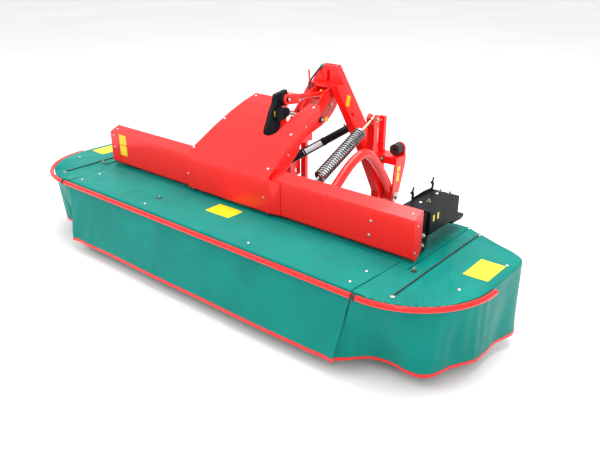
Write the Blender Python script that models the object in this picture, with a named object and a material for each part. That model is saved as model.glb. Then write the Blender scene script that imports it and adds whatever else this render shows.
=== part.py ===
"""Front disc mower, 3.2 m class, parked on its skids and on two parking stands.

Metres, +Z up, travel direction -Y, tractor side +Y.  The origin lies on the
floor under the middle of the machine.
"""
import math

import bmesh
import bpy
from mathutils import Matrix, Vector

# ---- overall sizes ---------------------------------------------------------
GAP = 0.0003                 # between pieces that sit face to face
RUN = 0.006                  # between pieces that move past each other
HEAD_X = 0.05                # the headstock stands a little right of the middle

# ---- guards ----------------------------------------------------------------
GUARD_HALF_X = 1.656         # middle of the rail at its widest
GUARD_FRONT_Y = -0.726       # middle of the straight front rail
GUARD_ARC = 0.46
RAIL_Z = 0.463
RAIL_R = 0.014
FRONT_BAR_X = (-0.95, -0.05, 0.95)
SPLIT_X = 1.168              # where front and side rails meet
COVER_TOP = 0.477
COVER_WALL = 0.008
COVER_FRONT_Y = -0.703
COVER_HALF_X = 1.64
COVER_SEAM_Y = -0.330        # rear edge of the front cover
COVER_REAR_Y = 0.300
HEM_Z = 0.083
HEM_OUT = 0.060              # the front curtain leans forward by this
HEM_HALF_X = 1.089
DECK_TOP = 0.4745
DECK_FRONT_Y = -0.308
EAR_FRONT_Y = -0.355
FRONT_HINGE = (-0.335, 0.458)
HINGE_ROD_R = 0.007
SIDE_HINGE_X = 1.245
SIDE_HINGE_Z = 0.470

# ---- beam ------------------------------------------------------------------
BEAM_HALF_X = 1.178
BEAM_Y = (-0.240, -0.1265)
BEAM_Z = (0.505, 0.605)
SHEET = 0.004
COVER_BEAM_HALF_X = 1.227
COVER_BEAM_Y = -0.292
COVER_BEAM_Z = (0.501, 0.707)
HOOD_Y = -0.309
HOOD_X = (-0.41, 0.287)
HOOD_REAR_X = (-0.246, 0.277)

# ---- cutting gear ----------------------------------------------------------
DISC_COUNT = 8
DISC_PITCH = 0.395
DISC_Y = -0.260
DISC_R = 0.150
KNIFE_R = 0.205
KNIFE_Z = 0.094
BAR_Y = (-0.360, -0.060)
BAR_Z = (0.042, 0.082)
HANGER_X = 1.184

# ---- headstock -------------------------------------------------------------
HITCH = (0.630, 0.385)       # lower link pins, as (y, z)
HITCH_PIN_R = 0.018
ARM_X = 0.45                 # from HEAD_X
ARM_R = 0.030
ARM_FRONT = (-0.070, 0.545)
MAST_FRONT_Y = 0.475
MAST_FOLD_Y = 0.530
MAST_REAR_Y = 0.585
MAST_TOP_Z = 1.197
LEDGE_Z = (1.066, 1.086)
KINK_Z = 0.690
FOOT_Z = 0.400
FOOT_SET_BACK = 0.084
POST_X = 0.38
SPRING_PIN = (0.500, 0.915)
SPRING_ANCHOR = (-0.100, 0.645)
SPRING_R = 0.040
STAND_X = 0.33
STAND_Y = 0.690
STAND_FOOT = 0.073
STAND_TOP = 0.890
STAND_HALF = (0.022, 0.015)
SLEEVE_Z = (0.600, 0.650)
SLEEVE_Y = (0.621, 0.733)

# ---- upper linkage ---------------------------------------------------------
LINK_REAR = (0.505, 1.020)
LINK_FRONT = (0.083, 1.060)
LINK_R = 0.0165
CYL_REAR = (0.382, 0.878)
CYL_FRONT = (0.085, 0.980)
CYL_R = 0.030
ROD_R = 0.018
NOSE_IN = 0.050
NOSE_OUT = 0.060
UPPER_PIN_R = 0.012
SLOT_END = (0.487, 0.960)
SLOT_R = 0.0135

# ---- drive -----------------------------------------------------------------
SHAFT_JOINT = (0.0, 0.010, 0.607)
SHAFT_REAR = (0.172, 0.690, 0.799)
SHAFT_R = 0.026
DRIVE_IN = (1.115, -0.053)    # where the drive goes down to the cutterbar, as (x, y)
DRIVE_IN_R = 0.030


# ---- materials -------------------------------------------------------------
def material(name, colour, rough, metal=0.0):
    mat = bpy.data.materials.new(name)
    mat.use_nodes = True
    shader = mat.node_tree.nodes["Principled BSDF"]
    shader.inputs["Base Color"].default_value = (*colour, 1.0)
    shader.inputs["Roughness"].default_value = rough
    shader.inputs["Metallic"].default_value = metal
    return mat


def finishes():
    return {
        "red": ((0.62, 0.012, 0.010), 0.35, 0.0),
        "black": ((0.012, 0.013, 0.014), 0.45, 0.0),
        "cloth": ((0.005, 0.27, 0.20), 0.55, 0.0),
        "zinc": ((0.55, 0.56, 0.57), 0.35, 1.0),
        "chrome": ((0.62, 0.62, 0.62), 0.12, 1.0),
        "steel": ((0.16, 0.16, 0.16), 0.5, 1.0),
        "rubber": ((0.015, 0.015, 0.015), 0.8, 0.0),
    }


# ---- shape helpers ---------------------------------------------------------
def to_object(name, bm):
    bmesh.ops.remove_doubles(bm, verts=bm.verts, dist=1e-6)
    bmesh.ops.recalc_face_normals(bm, faces=bm.faces)
    mesh = bpy.data.meshes.new(name)
    bm.to_mesh(mesh)
    bm.free()
    obj = bpy.data.objects.new(name, mesh)
    bpy.context.scene.collection.objects.link(obj)
    return obj


def lay(axis, u, v, w):
    """A point from two section values and one along the axis."""
    return {"X": (w, u, v), "Y": (u, w, v), "Z": (u, v, w)}[axis]


def prism(outline, axis, low, high):
    bm = bmesh.new()
    ring = [bm.verts.new(lay(axis, u, v, low)) for u, v in outline]
    face = bm.faces.new(ring)
    made = bmesh.ops.extrude_face_region(bm, geom=[face])["geom"]
    shift = Vector(lay(axis, 0, 0, high - low))
    bmesh.ops.translate(bm, vec=shift, verts=[g for g in made if isinstance(g, bmesh.types.BMVert)])
    return to_object("solid", bm)


def block(low, high):
    x0, y0, z0 = low
    x1, y1, z1 = high
    return prism([(x0, y0), (x1, y0), (x1, y1), (x0, y1)], "Z", z0, z1)


def bar(start, end, radius, sides=20, end_radius=None):
    start, end = Vector(start), Vector(end)
    run = end - start
    turn = run.to_track_quat("Z", "Y").to_matrix().to_4x4()
    place = Matrix.Translation((start + end) / 2) @ turn
    bm = bmesh.new()
    top = radius if end_radius is None else end_radius
    bmesh.ops.create_cone(bm, cap_ends=True, segments=sides, radius1=radius,
                          radius2=top, depth=run.length, matrix=place)
    return to_object("solid", bm)


def across(x0, x1, centre, radius, sides=20):
    """A round bar along X through a (y, z) centre."""
    return bar((x0, *centre), (x1, *centre), radius, sides)


def pipe(points, radius, resolution=3):
    """A round tube swept along points."""
    curve = bpy.data.curves.new("sweep", "CURVE")
    curve.dimensions = "3D"
    curve.bevel_depth = radius
    curve.bevel_resolution = resolution
    curve.use_fill_caps = True
    spline = curve.splines.new("POLY")
    spline.points.add(len(points) - 1)
    for point, place in zip(spline.points, points):
        point.co = (*place, 1.0)
    holder = bpy.data.objects.new("sweep", curve)
    bpy.context.scene.collection.objects.link(holder)
    bpy.context.view_layer.update()
    bm = bmesh.new()
    bm.from_mesh(holder.to_mesh())
    holder.to_mesh_clear()
    bpy.data.objects.remove(holder)
    bpy.data.curves.remove(curve)
    return to_object("solid", bm)


def loft(rings):
    """A closed solid through rings of equal count."""
    bm = bmesh.new()
    rows = [[bm.verts.new(p) for p in ring] for ring in rings]
    count = len(rows[0])
    for low, high in zip(rows, rows[1:]):
        for i in range(count):
            j = (i + 1) % count
            bm.faces.new((low[i], low[j], high[j], high[i]))
    bm.faces.new(rows[0][::-1])
    bm.faces.new(rows[-1])
    return to_object("solid", bm)


def arc(centre, radius, start, end, steps):
    """Points on an arc, angles in degrees."""
    cx, cy = centre
    turn = [math.radians(start + (end - start) * i / steps) for i in range(steps + 1)]
    return [(cx + radius * math.cos(a), cy + radius * math.sin(a)) for a in turn]


def capsule(start, end, radius, steps=8):
    """Outline of a slot with round ends between two (u, v) points."""
    lean = math.degrees(math.atan2(end[1] - start[1], end[0] - start[0]))
    return arc(end, radius, lean - 90, lean + 90, steps) + arc(start, radius, lean + 90, lean + 270, steps)


def smooth_route(route, steps=5):
    """Points on a smooth curve through a route."""
    points = [Vector(p) for p in route]
    padded = [points[0] * 2 - points[1], *points, points[-1] * 2 - points[-2]]
    path = []
    for a, b, c, d in zip(padded, padded[1:], padded[2:], padded[3:]):
        for i in range(steps):
            t = i / steps
            path.append(0.5 * ((2 * b) + (c - a) * t + (2 * a - 5 * b + 4 * c - d) * t ** 2
                               + (3 * b - a - 3 * c + d) * t ** 3))
    path.append(points[-1])
    return [tuple(p) for p in path]


def boolean(base, tools, operation):
    for tool in tools:
        modifier = base.modifiers.new(operation, "BOOLEAN")
        modifier.operation = operation
        modifier.solver = "EXACT"
        modifier.object = tool
        graph = bpy.context.evaluated_depsgraph_get()
        mesh = bpy.data.meshes.new_from_object(base.evaluated_get(graph))
        base.modifiers.clear()
        base.data = mesh
        bpy.data.objects.remove(tool)
    return base


def fuse(*pieces):
    return boolean(pieces[0], pieces[1:], "UNION")


def cut(piece, *tools):
    return boolean(piece, tools, "DIFFERENCE")


def mirrored(obj):
    """A copy on the other side of the headstock's middle plane."""
    twin = obj.copy()
    twin.data = obj.data.copy()
    bpy.context.scene.collection.objects.link(twin)
    flip = Matrix.Translation((2 * HEAD_X, 0, 0)) @ Matrix.Diagonal((-1, 1, 1, 1))
    twin.data.transform(flip)
    twin.data.flip_normals()
    return twin


def opposite(obj):
    """A copy on the other side of the machine's middle plane."""
    twin = obj.copy()
    twin.data = obj.data.copy()
    bpy.context.scene.collection.objects.link(twin)
    twin.data.transform(Matrix.Diagonal((-1, 1, 1, 1)))
    twin.data.flip_normals()
    return twin


def finish(obj, name, mat, pivot=(0, 0, 0)):
    """Name a node, give it its finish and put its origin on its pivot."""
    obj.name = name
    obj.data.name = name
    obj.data.materials.clear()
    obj.data.materials.append(mat)
    obj.data.transform(Matrix.Translation(-Vector(pivot)))
    obj.location = pivot
    obj.data.shade_smooth()
    obj.data.set_sharp_from_angle(angle=math.radians(35))
    return obj


def head(side, offset):
    """X of a place beside the headstock's middle, side is -1 or 1."""
    return HEAD_X + side * offset


# ---- headstock -------------------------------------------------------------
def leg_edges(z):
    """Inner, front outer and folded outer edges of a leg, from HEAD_X."""
    drop = 1.0 - z
    return 0.105 + 0.60 * drop, 0.164 + 0.63 * drop, 0.182 + 0.63 * drop


def leg_ring(z, edges, back):
    inner, front, fold = (HEAD_X + e for e in edges)
    return [(inner, MAST_FRONT_Y + back, z), (front, MAST_FRONT_Y + back, z),
            (fold, MAST_FOLD_Y + back, z), (fold, MAST_REAR_Y + back, z),
            (inner, MAST_REAR_Y + back, z)]


def mast_leg():
    kink = leg_edges(KINK_Z)
    foot = [kink[0] + 0.060, kink[1] + 0.047, kink[2] + 0.037]
    rings = [leg_ring(FOOT_Z - 0.055, foot, FOOT_SET_BACK),
             leg_ring(FOOT_Z + 0.02, foot, FOOT_SET_BACK),
             leg_ring(KINK_Z, kink, 0.0),
             leg_ring(LEDGE_Z[1], leg_edges(LEDGE_Z[1]), 0.0)]
    return loft(rings)


def hitch_bracket():
    """Sleeve block, side plate, buffer plate and spring post of the right side."""
    side_x = HEAD_X + ARM_X + 0.034
    sleeve = block((HEAD_X + 0.29, SLEEVE_Y[0], SLEEVE_Z[0]), (side_x + 0.012, SLEEVE_Y[1], SLEEVE_Z[1]))
    tie = block((HEAD_X + 0.31, 0.565, SLEEVE_Z[0]), (HEAD_X + 0.37, 0.665, SLEEVE_Z[1]))
    outline = [(SLEEVE_Y[0], SLEEVE_Z[1]), (SLEEVE_Y[1], SLEEVE_Z[1]), (SLEEVE_Y[1], SLEEVE_Z[0])]
    outline += arc(HITCH, 0.040, 20, -200, 10)
    outline += [(SLEEVE_Y[0] - 0.015, 0.56)]
    plate = prism(outline, "X", side_x, side_x + 0.012)
    rest = [(HEAD_X + ARM_X - 0.042, SLEEVE_Z[0] + 0.01)]
    rest += arc((HEAD_X + ARM_X, 0.688), 0.042, 180, 0, 10)
    rest += [(HEAD_X + ARM_X + 0.042, SLEEVE_Z[0] + 0.01)]
    buffer_plate = prism(rest, "Y", SLEEVE_Y[1] - 0.013, SLEEVE_Y[1])
    return fuse(sleeve, tie, plate, buffer_plate)


def spring_post():
    """Post with two ears that hold the relief spring's rod."""
    x0, x1 = HEAD_X + POST_X - 0.026, HEAD_X + POST_X + 0.026
    y, z = SPRING_PIN
    stem = prism([(y - 0.030, 0.66), (y + 0.034, 0.66), (y + 0.022, 0.80), (y + 0.022, z - 0.040),
                  (y - 0.018, z - 0.040), (y - 0.018, 0.78)], "X", x0, x1)
    pieces = [stem]
    for low in (x0 - 0.004, x1 - 0.008):
        outline = [(y - 0.028, z - 0.055), (y + 0.030, z - 0.055)]
        outline += arc((y, z), 0.030, 0, 180, 8)
        pieces.append(prism(outline, "X", low, low + 0.012))
    return fuse(*pieces)


def apex():
    """Top link box: open at the top, with a window through both walls."""
    low, high = LEDGE_Z[0], MAST_TOP_Z
    rings = []
    for z in (low, high):
        half = leg_edges(z)[2]
        rings.append([(HEAD_X - half, MAST_FOLD_Y, z), (HEAD_X + half, MAST_FOLD_Y, z),
                      (HEAD_X + half, MAST_REAR_Y, z), (HEAD_X - half, MAST_REAR_Y, z)])
    box = loft(rings)
    slot = block((HEAD_X - 0.044, MAST_FOLD_Y + 0.012, 1.087), (HEAD_X + 0.044, MAST_REAR_Y - 0.012, 1.3))
    window = block((HEAD_X - 0.018, 0.3, 1.092), (HEAD_X + 0.018, 0.7, 1.167))
    return cut(box, slot, window)


HOLDER_R = 0.006
HOLDER_ROUTE = [(-0.100, 0.555, 1.010), (-0.145, 0.590, 1.030), (-0.165, 0.603, 1.070),
                (-0.172, 0.606, 1.130)]
HOOK_ROUTE = [(0.295, 0.560, 0.770), (0.250, 0.625, 0.756), (0.205, 0.650, 0.7525), (0.160, 0.652, 0.7525),
              (0.112, 0.652, 0.760), (0.098, 0.652, 0.795)]


def build_mast(mats):
    leg = mast_leg()
    bracket = hitch_bracket()
    post = spring_post()
    half = leg_edges(LEDGE_Z[0])[1]
    ledge = block((HEAD_X - half, MAST_FRONT_Y, LEDGE_Z[0]), (HEAD_X + half, MAST_REAR_Y, LEDGE_Z[1]))
    pieces = [ledge, apex()]
    for piece in (leg, bracket, post):
        pieces += [piece, mirrored(piece)]
    pieces += [pipe(smooth_route(route, 3), HOLDER_R, 2) for route in (HOLDER_ROUTE, HOOK_ROUTE)]
    mast = fuse(*pieces)
    tools = [across(HEAD_X - 0.7, HEAD_X + 0.7, HITCH, HITCH_PIN_R + GAP),
             across(HEAD_X - 0.7, HEAD_X + 0.7, SPRING_PIN, 0.0105 + GAP)]
    for side in (-1, 1):
        x = head(side, STAND_X)
        dx, dy = STAND_HALF[0] + 0.0015, STAND_HALF[1] + 0.0015
        tools.append(block((x - dx, STAND_Y - dy, 0.5), (x + dx, STAND_Y + dy, 0.75)))
    finish(cut(mast, *tools), "mast_frame", mats["red"])


def build_hitch_pins(mats):
    for side, name in ((-1, "left"), (1, "right")):
        pin = across(head(side, 0.352), head(side, 0.515), HITCH, HITCH_PIN_R, 24)
        finish(pin, f"hitch_pin_{name}", mats["chrome"])


def build_buffers(mats):
    for side, name in ((-1, "left"), (1, "right")):
        x = head(side, ARM_X)
        rear = SLEEVE_Y[1] - 0.013 - GAP
        body = bar((x, rear, 0.691), (x, rear - 0.062, 0.691), 0.036, 24)
        bore = bar((x, rear - 0.05, 0.691), (x, rear - 0.1, 0.691), 0.012)
        finish(cut(body, bore), f"stop_buffer_{name}", mats["rubber"])


def build_stands(mats):
    for side, name in ((-1, "left"), (1, "right")):
        x = head(side, STAND_X)
        dx, dy = STAND_HALF
        leg = block((x - dx, STAND_Y - dy, 0.004), (x + dx, STAND_Y + dy, STAND_TOP))
        foot = block((x - 0.06, STAND_Y - STAND_FOOT, 0.0), (x + 0.06, STAND_Y + STAND_FOOT, 0.008))
        stand = fuse(leg, foot)
        holes = [bar((x, 0.5, STAND_TOP - 0.03 - 0.05 * i), (x, 0.8, STAND_TOP - 0.03 - 0.05 * i), 0.006, 10)
                 for i in range(4)]
        finish(cut(stand, *holes), f"parking_stand_{name}", mats["red"], (x, STAND_Y, 0))


def nose_outline():
    rear_z = LEDGE_Z[0] - GAP
    return [(0.243, 0.805), (0.297, 0.813), (0.395, 0.838), (0.465, 0.868), (0.517, 0.905),
            (0.554, 0.945), (0.554, rear_z), (0.465, rear_z), (0.395, 1.035), (0.280, 0.890)]


def build_nose(mats):
    plates = [prism(nose_outline(), "X", *sorted((head(s, NOSE_IN), head(s, NOSE_OUT)))) for s in (-1, 1)]
    pin = across(HEAD_X - 0.074, HEAD_X + 0.074, LINK_REAR, UPPER_PIN_R)
    tie = across(HEAD_X - 0.055, HEAD_X + 0.055, (0.270, 0.826), 0.010)
    spacer = block((HEAD_X - 0.055, 0.539, 0.96), (HEAD_X + 0.055, 0.549, 1.06))
    nose = fuse(plates[0], pin, tie, spacer, plates[1])
    slot = prism(capsule(CYL_REAR, SLOT_END, SLOT_R), "X", HEAD_X - 0.1, HEAD_X + 0.1)
    finish(cut(nose, slot), "nose_plates", mats["red"])


# ---- lift arms and relief springs -----------------------------------------
def arm_path(x):
    route = [HITCH, (0.598, 0.466), (0.486, 0.616), (0.367, 0.731), (0.275, 0.748), (0.162, 0.705),
             (0.045, 0.623), ARM_FRONT]
    return smooth_route([(x, y, z) for y, z in route], 3)


def build_arms(mats):
    for side, name in ((-1, "left"), (1, "right")):
        x = head(side, ARM_X)
        path = arm_path(x)
        tube = pipe(path, ARM_R, 4)
        rear = across(x - 0.025, x + 0.025, HITCH, 0.040, 24)
        front = across(x - 0.025, x + 0.025, ARM_FRONT, 0.038, 24)
        arm = fuse(tube, rear, front)
        tools = [across(x - 0.1, x + 0.1, HITCH, HITCH_PIN_R + GAP, 24),
                 across(x - 0.1, x + 0.1, ARM_FRONT, 0.0153, 24)]
        finish(cut(arm, *tools), f"lift_arm_{name}", mats["red"], (x, *HITCH))


def spring_point(x, reach):
    """A point on a spring's axis, at a distance from its upper pin."""
    start, end = Vector((x, *SPRING_PIN)), Vector((x, *SPRING_ANCHOR))
    return start + (end - start).normalized() * reach


def build_springs(mats):
    length = (Vector(SPRING_PIN) - Vector(SPRING_ANCHOR)).length
    coil_start, coil_end = 0.143, length - 0.065
    for side, name in ((-1, "left"), (1, "right")):
        x = head(side, POST_X)
        coil = bar(spring_point(x, coil_start), spring_point(x, coil_end), SPRING_R, 24)
        hollow = bar(spring_point(x, coil_start + 0.008), spring_point(x, coil_end - 0.008),
                     SPRING_R - 0.011, 24)
        way = bar(spring_point(x, coil_start - 0.02), spring_point(x, coil_start + 0.02), 0.0115, 16)
        coil = cut(coil, hollow, way)
        hook = bar(spring_point(x, coil_end - 0.004), spring_point(x, length - 0.012), 0.009, 12)
        eye = across(x - 0.010, x + 0.010, SPRING_ANCHOR, 0.022)
        spring = cut(fuse(coil, hook, eye), across(x - 0.1, x + 0.1, SPRING_ANCHOR, 0.0103))
        finish(spring, f"relief_spring_{name}", mats["zinc"], (x, *SPRING_ANCHOR))
        rod = bar(spring_point(x, 0.0), spring_point(x, 0.250), 0.0085, 12)
        trunnion = across(x - 0.040, x + 0.040, SPRING_PIN, 0.0105)
        nut = bar(spring_point(x, -0.030), spring_point(x, 0.018), 0.0155, 6)
        finish(fuse(rod, trunnion, nut), f"spring_rod_{name}", mats["zinc"], (x, *SPRING_PIN))


# ---- upper linkage ---------------------------------------------------------
def between(start, end, share):
    return tuple(a + (b - a) * share for a, b in zip(start, end))


def build_upper_link(mats):
    x = HEAD_X
    tube = bar((x, *between(LINK_REAR, LINK_FRONT, 0.05)), (x, *between(LINK_REAR, LINK_FRONT, 0.80)), LINK_R)
    eye = across(x - 0.025, x + 0.025, LINK_REAR, 0.030, 24)
    web = between(LINK_REAR, LINK_FRONT, 0.78)
    yoke = block((x - 0.046, web[0] - 0.022, web[1] - 0.028), (x + 0.046, web[0] + 0.008, web[1] + 0.026))
    pieces = [tube, eye, yoke]
    for side in (-1, 1):
        y, z = LINK_FRONT
        outline = [(web[0], web[1] + 0.026), *arc((y, z), 0.032, 90, 270, 10), (web[0], web[1] - 0.028)]
        pieces.append(prism(outline, "X", *sorted((x + side * 0.034, x + side * 0.046))))
    link = fuse(*pieces)
    tools = [across(x - 0.1, x + 0.1, LINK_REAR, UPPER_PIN_R + GAP),
             across(x - 0.1, x + 0.1, LINK_FRONT, UPPER_PIN_R + 0.0045)]
    finish(cut(link, *tools), "upper_link", mats["red"], (x, *LINK_REAR))


def build_lift_cylinder(mats):
    x = HEAD_X
    at = lambda share: (x, *between(CYL_REAR, CYL_FRONT, share))
    barrel = fuse(bar(at(0.03), at(0.44), CYL_R, 24), across(x - 0.028, x + 0.028, CYL_REAR, 0.027),
                  across(x - 0.070, x + 0.070, CYL_REAR, UPPER_PIN_R))
    bore = bar(at(0.16), at(0.54), ROD_R + 0.0008, 24)
    finish(cut(barrel, bore), "lift_cylinder", mats["black"], (x, *CYL_REAR))
    rod = fuse(bar(at(0.24), at(0.94), ROD_R, 24), across(x - 0.020, x + 0.020, CYL_FRONT, 0.027))
    rod = cut(rod, across(x - 0.1, x + 0.1, CYL_FRONT, UPPER_PIN_R + 0.0045))
    finish(rod, "lift_cylinder_rod", mats["chrome"], (x, *CYL_FRONT))


# ---- mower frame -----------------------------------------------------------
def build_main_beam(mats):
    beam = block((-BEAM_HALF_X, BEAM_Y[0], BEAM_Z[0]), (BEAM_HALF_X, BEAM_Y[1], BEAM_Z[1]))
    pieces = [beam]
    for side in (-1, 1):
        x = head(side, ARM_X)
        for offset in (-0.043, 0.031):
            root = BEAM_Y[1] - 0.02
            outline = [(root, 0.508), *arc(ARM_FRONT, 0.036, -90, 90, 10), (root, 0.60)]
            pieces.append(prism(outline, "X", x + offset, x + offset + 0.012))
        pieces.append(across(x - 0.05, x + 0.05, ARM_FRONT, 0.015, 24))
        x = head(side, POST_X)
        y, z = SPRING_ANCHOR
        for offset in (-0.028, 0.016):
            outline = [(BEAM_Y[1] - 0.06, BEAM_Z[1] - 0.01), (BEAM_Y[1] - 0.004, BEAM_Z[1] - 0.01),
                       *arc(SPRING_ANCHOR, 0.020, -40, 120, 8)]
            pieces.append(prism(outline, "X", x + offset, x + offset + 0.012))
        pieces.append(across(x - 0.034, x + 0.034, SPRING_ANCHOR, 0.010))
    finish(fuse(*pieces), "main_beam", mats["red"])


def build_tower(mats):
    x = HEAD_X
    base = BEAM_Z[1] + GAP
    outline = [(-0.227, base), (-0.135, base), (-0.045, 0.800), (0.053, 0.905), (0.110, 0.940),
               (0.113, 1.085), (0.110, 1.110), (0.010, 1.095), (-0.005, 1.045), (-0.035, 0.995),
               (-0.053, 0.950), (-0.075, 0.900), (-0.085, 0.860), (-0.135, 0.780), (-0.205, 0.680)]
    pieces = [prism(outline, "X", x - 0.014, x + 0.014)]
    skirt = [(-0.227, base), (-0.135, base), (-0.065, 0.755), (-0.100, 0.795), (-0.150, 0.780),
             (-0.205, 0.680)]
    for side in (-1, 1):
        pieces.append(prism(skirt, "X", *sorted((x + side * 0.010, x + side * 0.050))))
    pieces.append(block((x - 0.075, -0.233, base), (x + 0.075, -0.125, base + 0.012)))
    for centre, half in ((LINK_FRONT, 0.052), (CYL_FRONT, 0.030)):
        pieces.append(across(x - half, x + half, centre, UPPER_PIN_R))
    pieces.append(across(x - 0.030, x + 0.030, LINK_FRONT, 0.026, 24))
    tower = fuse(*pieces)
    gap = prism([(0.047, 0.890), (0.125, 0.890), (0.125, 1.020), (0.061, 1.020), (0.047, 0.978)],
                "X", x - 0.0215, x + 0.0215)
    tower = cut(tower, gap, prism(capsule((0.022, 1.020), (0.030, 1.055), 0.009), "X", x - 0.02, x + 0.02))
    pin = across(x - 0.034, x + 0.034, CYL_FRONT, UPPER_PIN_R)
    cheeks = []
    for side in (-1, 1):
        outline = [(0.005, 0.930), (0.070, 0.945), *arc(CYL_FRONT, 0.028, -60, 70, 8), (0.005, 1.025)]
        cheeks.append(prism(outline, "X", *sorted((x + side * 0.0225, x + side * 0.034))))
    back = block((x - 0.034, -0.001, 0.945), (x + 0.034, 0.025, 1.015))
    finish(fuse(tower, back, *cheeks, pin), "lift_tower", mats["black"])


def build_gearbox(mats):
    x, y, z = SHAFT_JOINT
    case = block((x - 0.065, BEAM_Y[1] + GAP, 0.52), (x + 0.065, -0.030, 0.604))
    hub = bar((x, -0.085, z), (x, y - 0.022, z), 0.048, 24)
    finish(fuse(case, hub), "gearbox", mats["black"])


def build_drive_shaft(mats):
    at = lambda share: between(SHAFT_JOINT, SHAFT_REAR, share)
    pieces = [bar(at(0.08), at(0.97), SHAFT_R, 24), bar(at(0.055), at(0.14), 0.050, 24, 0.030),
              bar(at(0.0), at(0.09), 0.016, 16), bar(at(0.95), at(1.0), 0.021, 16)]
    finish(fuse(*pieces), "drive_shaft", mats["black"], SHAFT_JOINT)


def build_beam_cover(mats):
    y, (z0, z1) = COVER_BEAM_Y, COVER_BEAM_Z
    outer = [(y + 0.030, z0 - 0.025), (y, z0), (y, z1), (y + 0.074, z1 + 0.032), (y + 0.074, z1 + 0.014)]
    inner = [(y + 0.070, z1 + 0.014), (y + 0.070, z1 + 0.026), (y + SHEET, z1 - 0.003),
             (y + SHEET, z0 + 0.002), (y + 0.030, z0 - 0.020)]
    half = COVER_BEAM_HALF_X
    sheet = prism(outer + inner, "X", -half, half)
    cap = [(y + 0.030, z0 - 0.025), (y, z0), (y, z1), (y + 0.074, z1 + 0.032), (y + 0.074, z0 + 0.02)]
    ends = [prism(cap, "X", *sorted((s * (half - SHEET), s * half))) for s in (-1, 1)]
    rear = BEAM_Y[0] - GAP
    lugs = [block((s * 0.8 - 0.03, y + 0.002, 0.53), (s * 0.8 + 0.03, rear, 0.58)) for s in (-1, 1)]
    finish(fuse(sheet, *ends, *lugs), "beam_cover", mats["red"])


def hood_profile():
    return [(HOOD_Y, 0.718), (-0.210, 0.795), (-0.125, 0.863), (-0.001, 0.951), (0.084, 1.001),
            (0.162, 1.038)]


def build_hood(mats):
    profile = hood_profile()
    front, rear = profile[0][0], profile[-1][0]

    def edges(y):
        share = (y - front) / (rear - front)
        return [a + (b - a) * share for a, b in zip(HOOD_X, HOOD_REAR_X)]

    rings = []
    for y, z in profile:
        x0, x1 = edges(y)
        rings.append([(x0, y, z), (x1, y, z), (x1, y, z - SHEET), (x0, y, z - SHEET)])
    top = loft(rings)
    x0, x1 = HOOD_X
    face_z = 0.500
    front_face = block((x0, HOOD_Y, face_z), (x1, HOOD_Y + SHEET, 0.716))
    lip = prism([(HOOD_Y, face_z), (HOOD_Y + 0.027, face_z - 0.022), (HOOD_Y + 0.027, face_z - 0.017),
                 (HOOD_Y + SHEET, face_z + 0.003)], "X", x0, x1)
    wing = prism([(x1 - SHEET, HOOD_Y), (x1, HOOD_Y), (x1 + 0.07, COVER_BEAM_Y - 0.005),
                  (x1 + 0.07, COVER_BEAM_Y - GAP), (x1 - SHEET, COVER_BEAM_Y - GAP)], "Z", face_z, 0.70)
    flange = [(HOOD_Y + 0.001, 0.716), *[(y, z - 0.001) for y, z in profile[1:]], (0.163, 0.972),
              (0.117, 0.937), (0.039, 0.880), (-0.022, 0.835), (-0.037, 0.798), (-0.097, 0.749),
              (-0.149, 0.707), (-0.2125, 0.722), (-0.2125, 0.7435), (-0.290, 0.714)]
    side = prism(flange, "X", HOOD_REAR_X[1] - SHEET, HOOD_REAR_X[1])
    hood = fuse(top, front_face, lip, wing, side)
    slot = [(0.225, 0.26), (0.150, -0.040), *arc((0.085, -0.040), 0.065, 0, -180, 10), (-0.022, 0.26)]
    finish(cut(hood, prism(slot, "Z", 0.75, 1.2)), "hood", mats["red"])


def build_drive_box(mats):
    x, y = DRIVE_IN
    box = block((1.05, -0.1255, 0.570), (1.215, 0.180, 0.695))
    neck = block((x - 0.040, BEAM_Y[1] + GAP, 0.52), (x + 0.040, 0.005, 0.575))
    finish(fuse(box, neck), "belt_box", mats["black"])
    column = fuse(bar((x, y, BAR_Z[1] + GAP), (x, y, 0.52 - GAP), DRIVE_IN_R, 24),
                  bar((x, y, 0.30), (x, y, 0.34), 0.050, 24))
    finish(column, "drive_column", mats["black"])


def build_hangers(mats):
    outline = [(BEAM_Y[0], 0.60), (-0.132, 0.60), (-0.132, 0.55), (-0.115, 0.47), (-0.060, 0.36),
               (-0.062, BAR_Z[1] + GAP),
               (-0.135, BAR_Z[1] + GAP), (-0.135, 0.30), (-0.245, 0.435), (-0.335, 0.442), (-0.348, 0.458),
               (-0.335, DECK_TOP - COVER_WALL - 0.001), (BEAM_Y[0], DECK_TOP - COVER_WALL - 0.001)]
    low = BEAM_HALF_X + GAP
    plate = prism(outline, "X", low, low + 0.011)
    foot = block((low - 0.03, -0.135, BAR_Z[1] + GAP), (low + 0.04, -0.065, BAR_Z[1] + 0.010))
    hanger = fuse(plate, foot)
    hanger = cut(hanger, across(low - 0.1, low + 0.1, FRONT_HINGE, HINGE_ROD_R + GAP))
    finish(opposite(hanger), "hanger_left", mats["black"])
    finish(hanger, "hanger_right", mats["black"])
    reach = low + 0.015
    finish(across(-reach, reach, FRONT_HINGE, HINGE_ROD_R, 16), "hinge_rod", mats["zinc"])


def disc_x(index):
    return (index - (DISC_COUNT - 1) / 2) * DISC_PITCH


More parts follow.
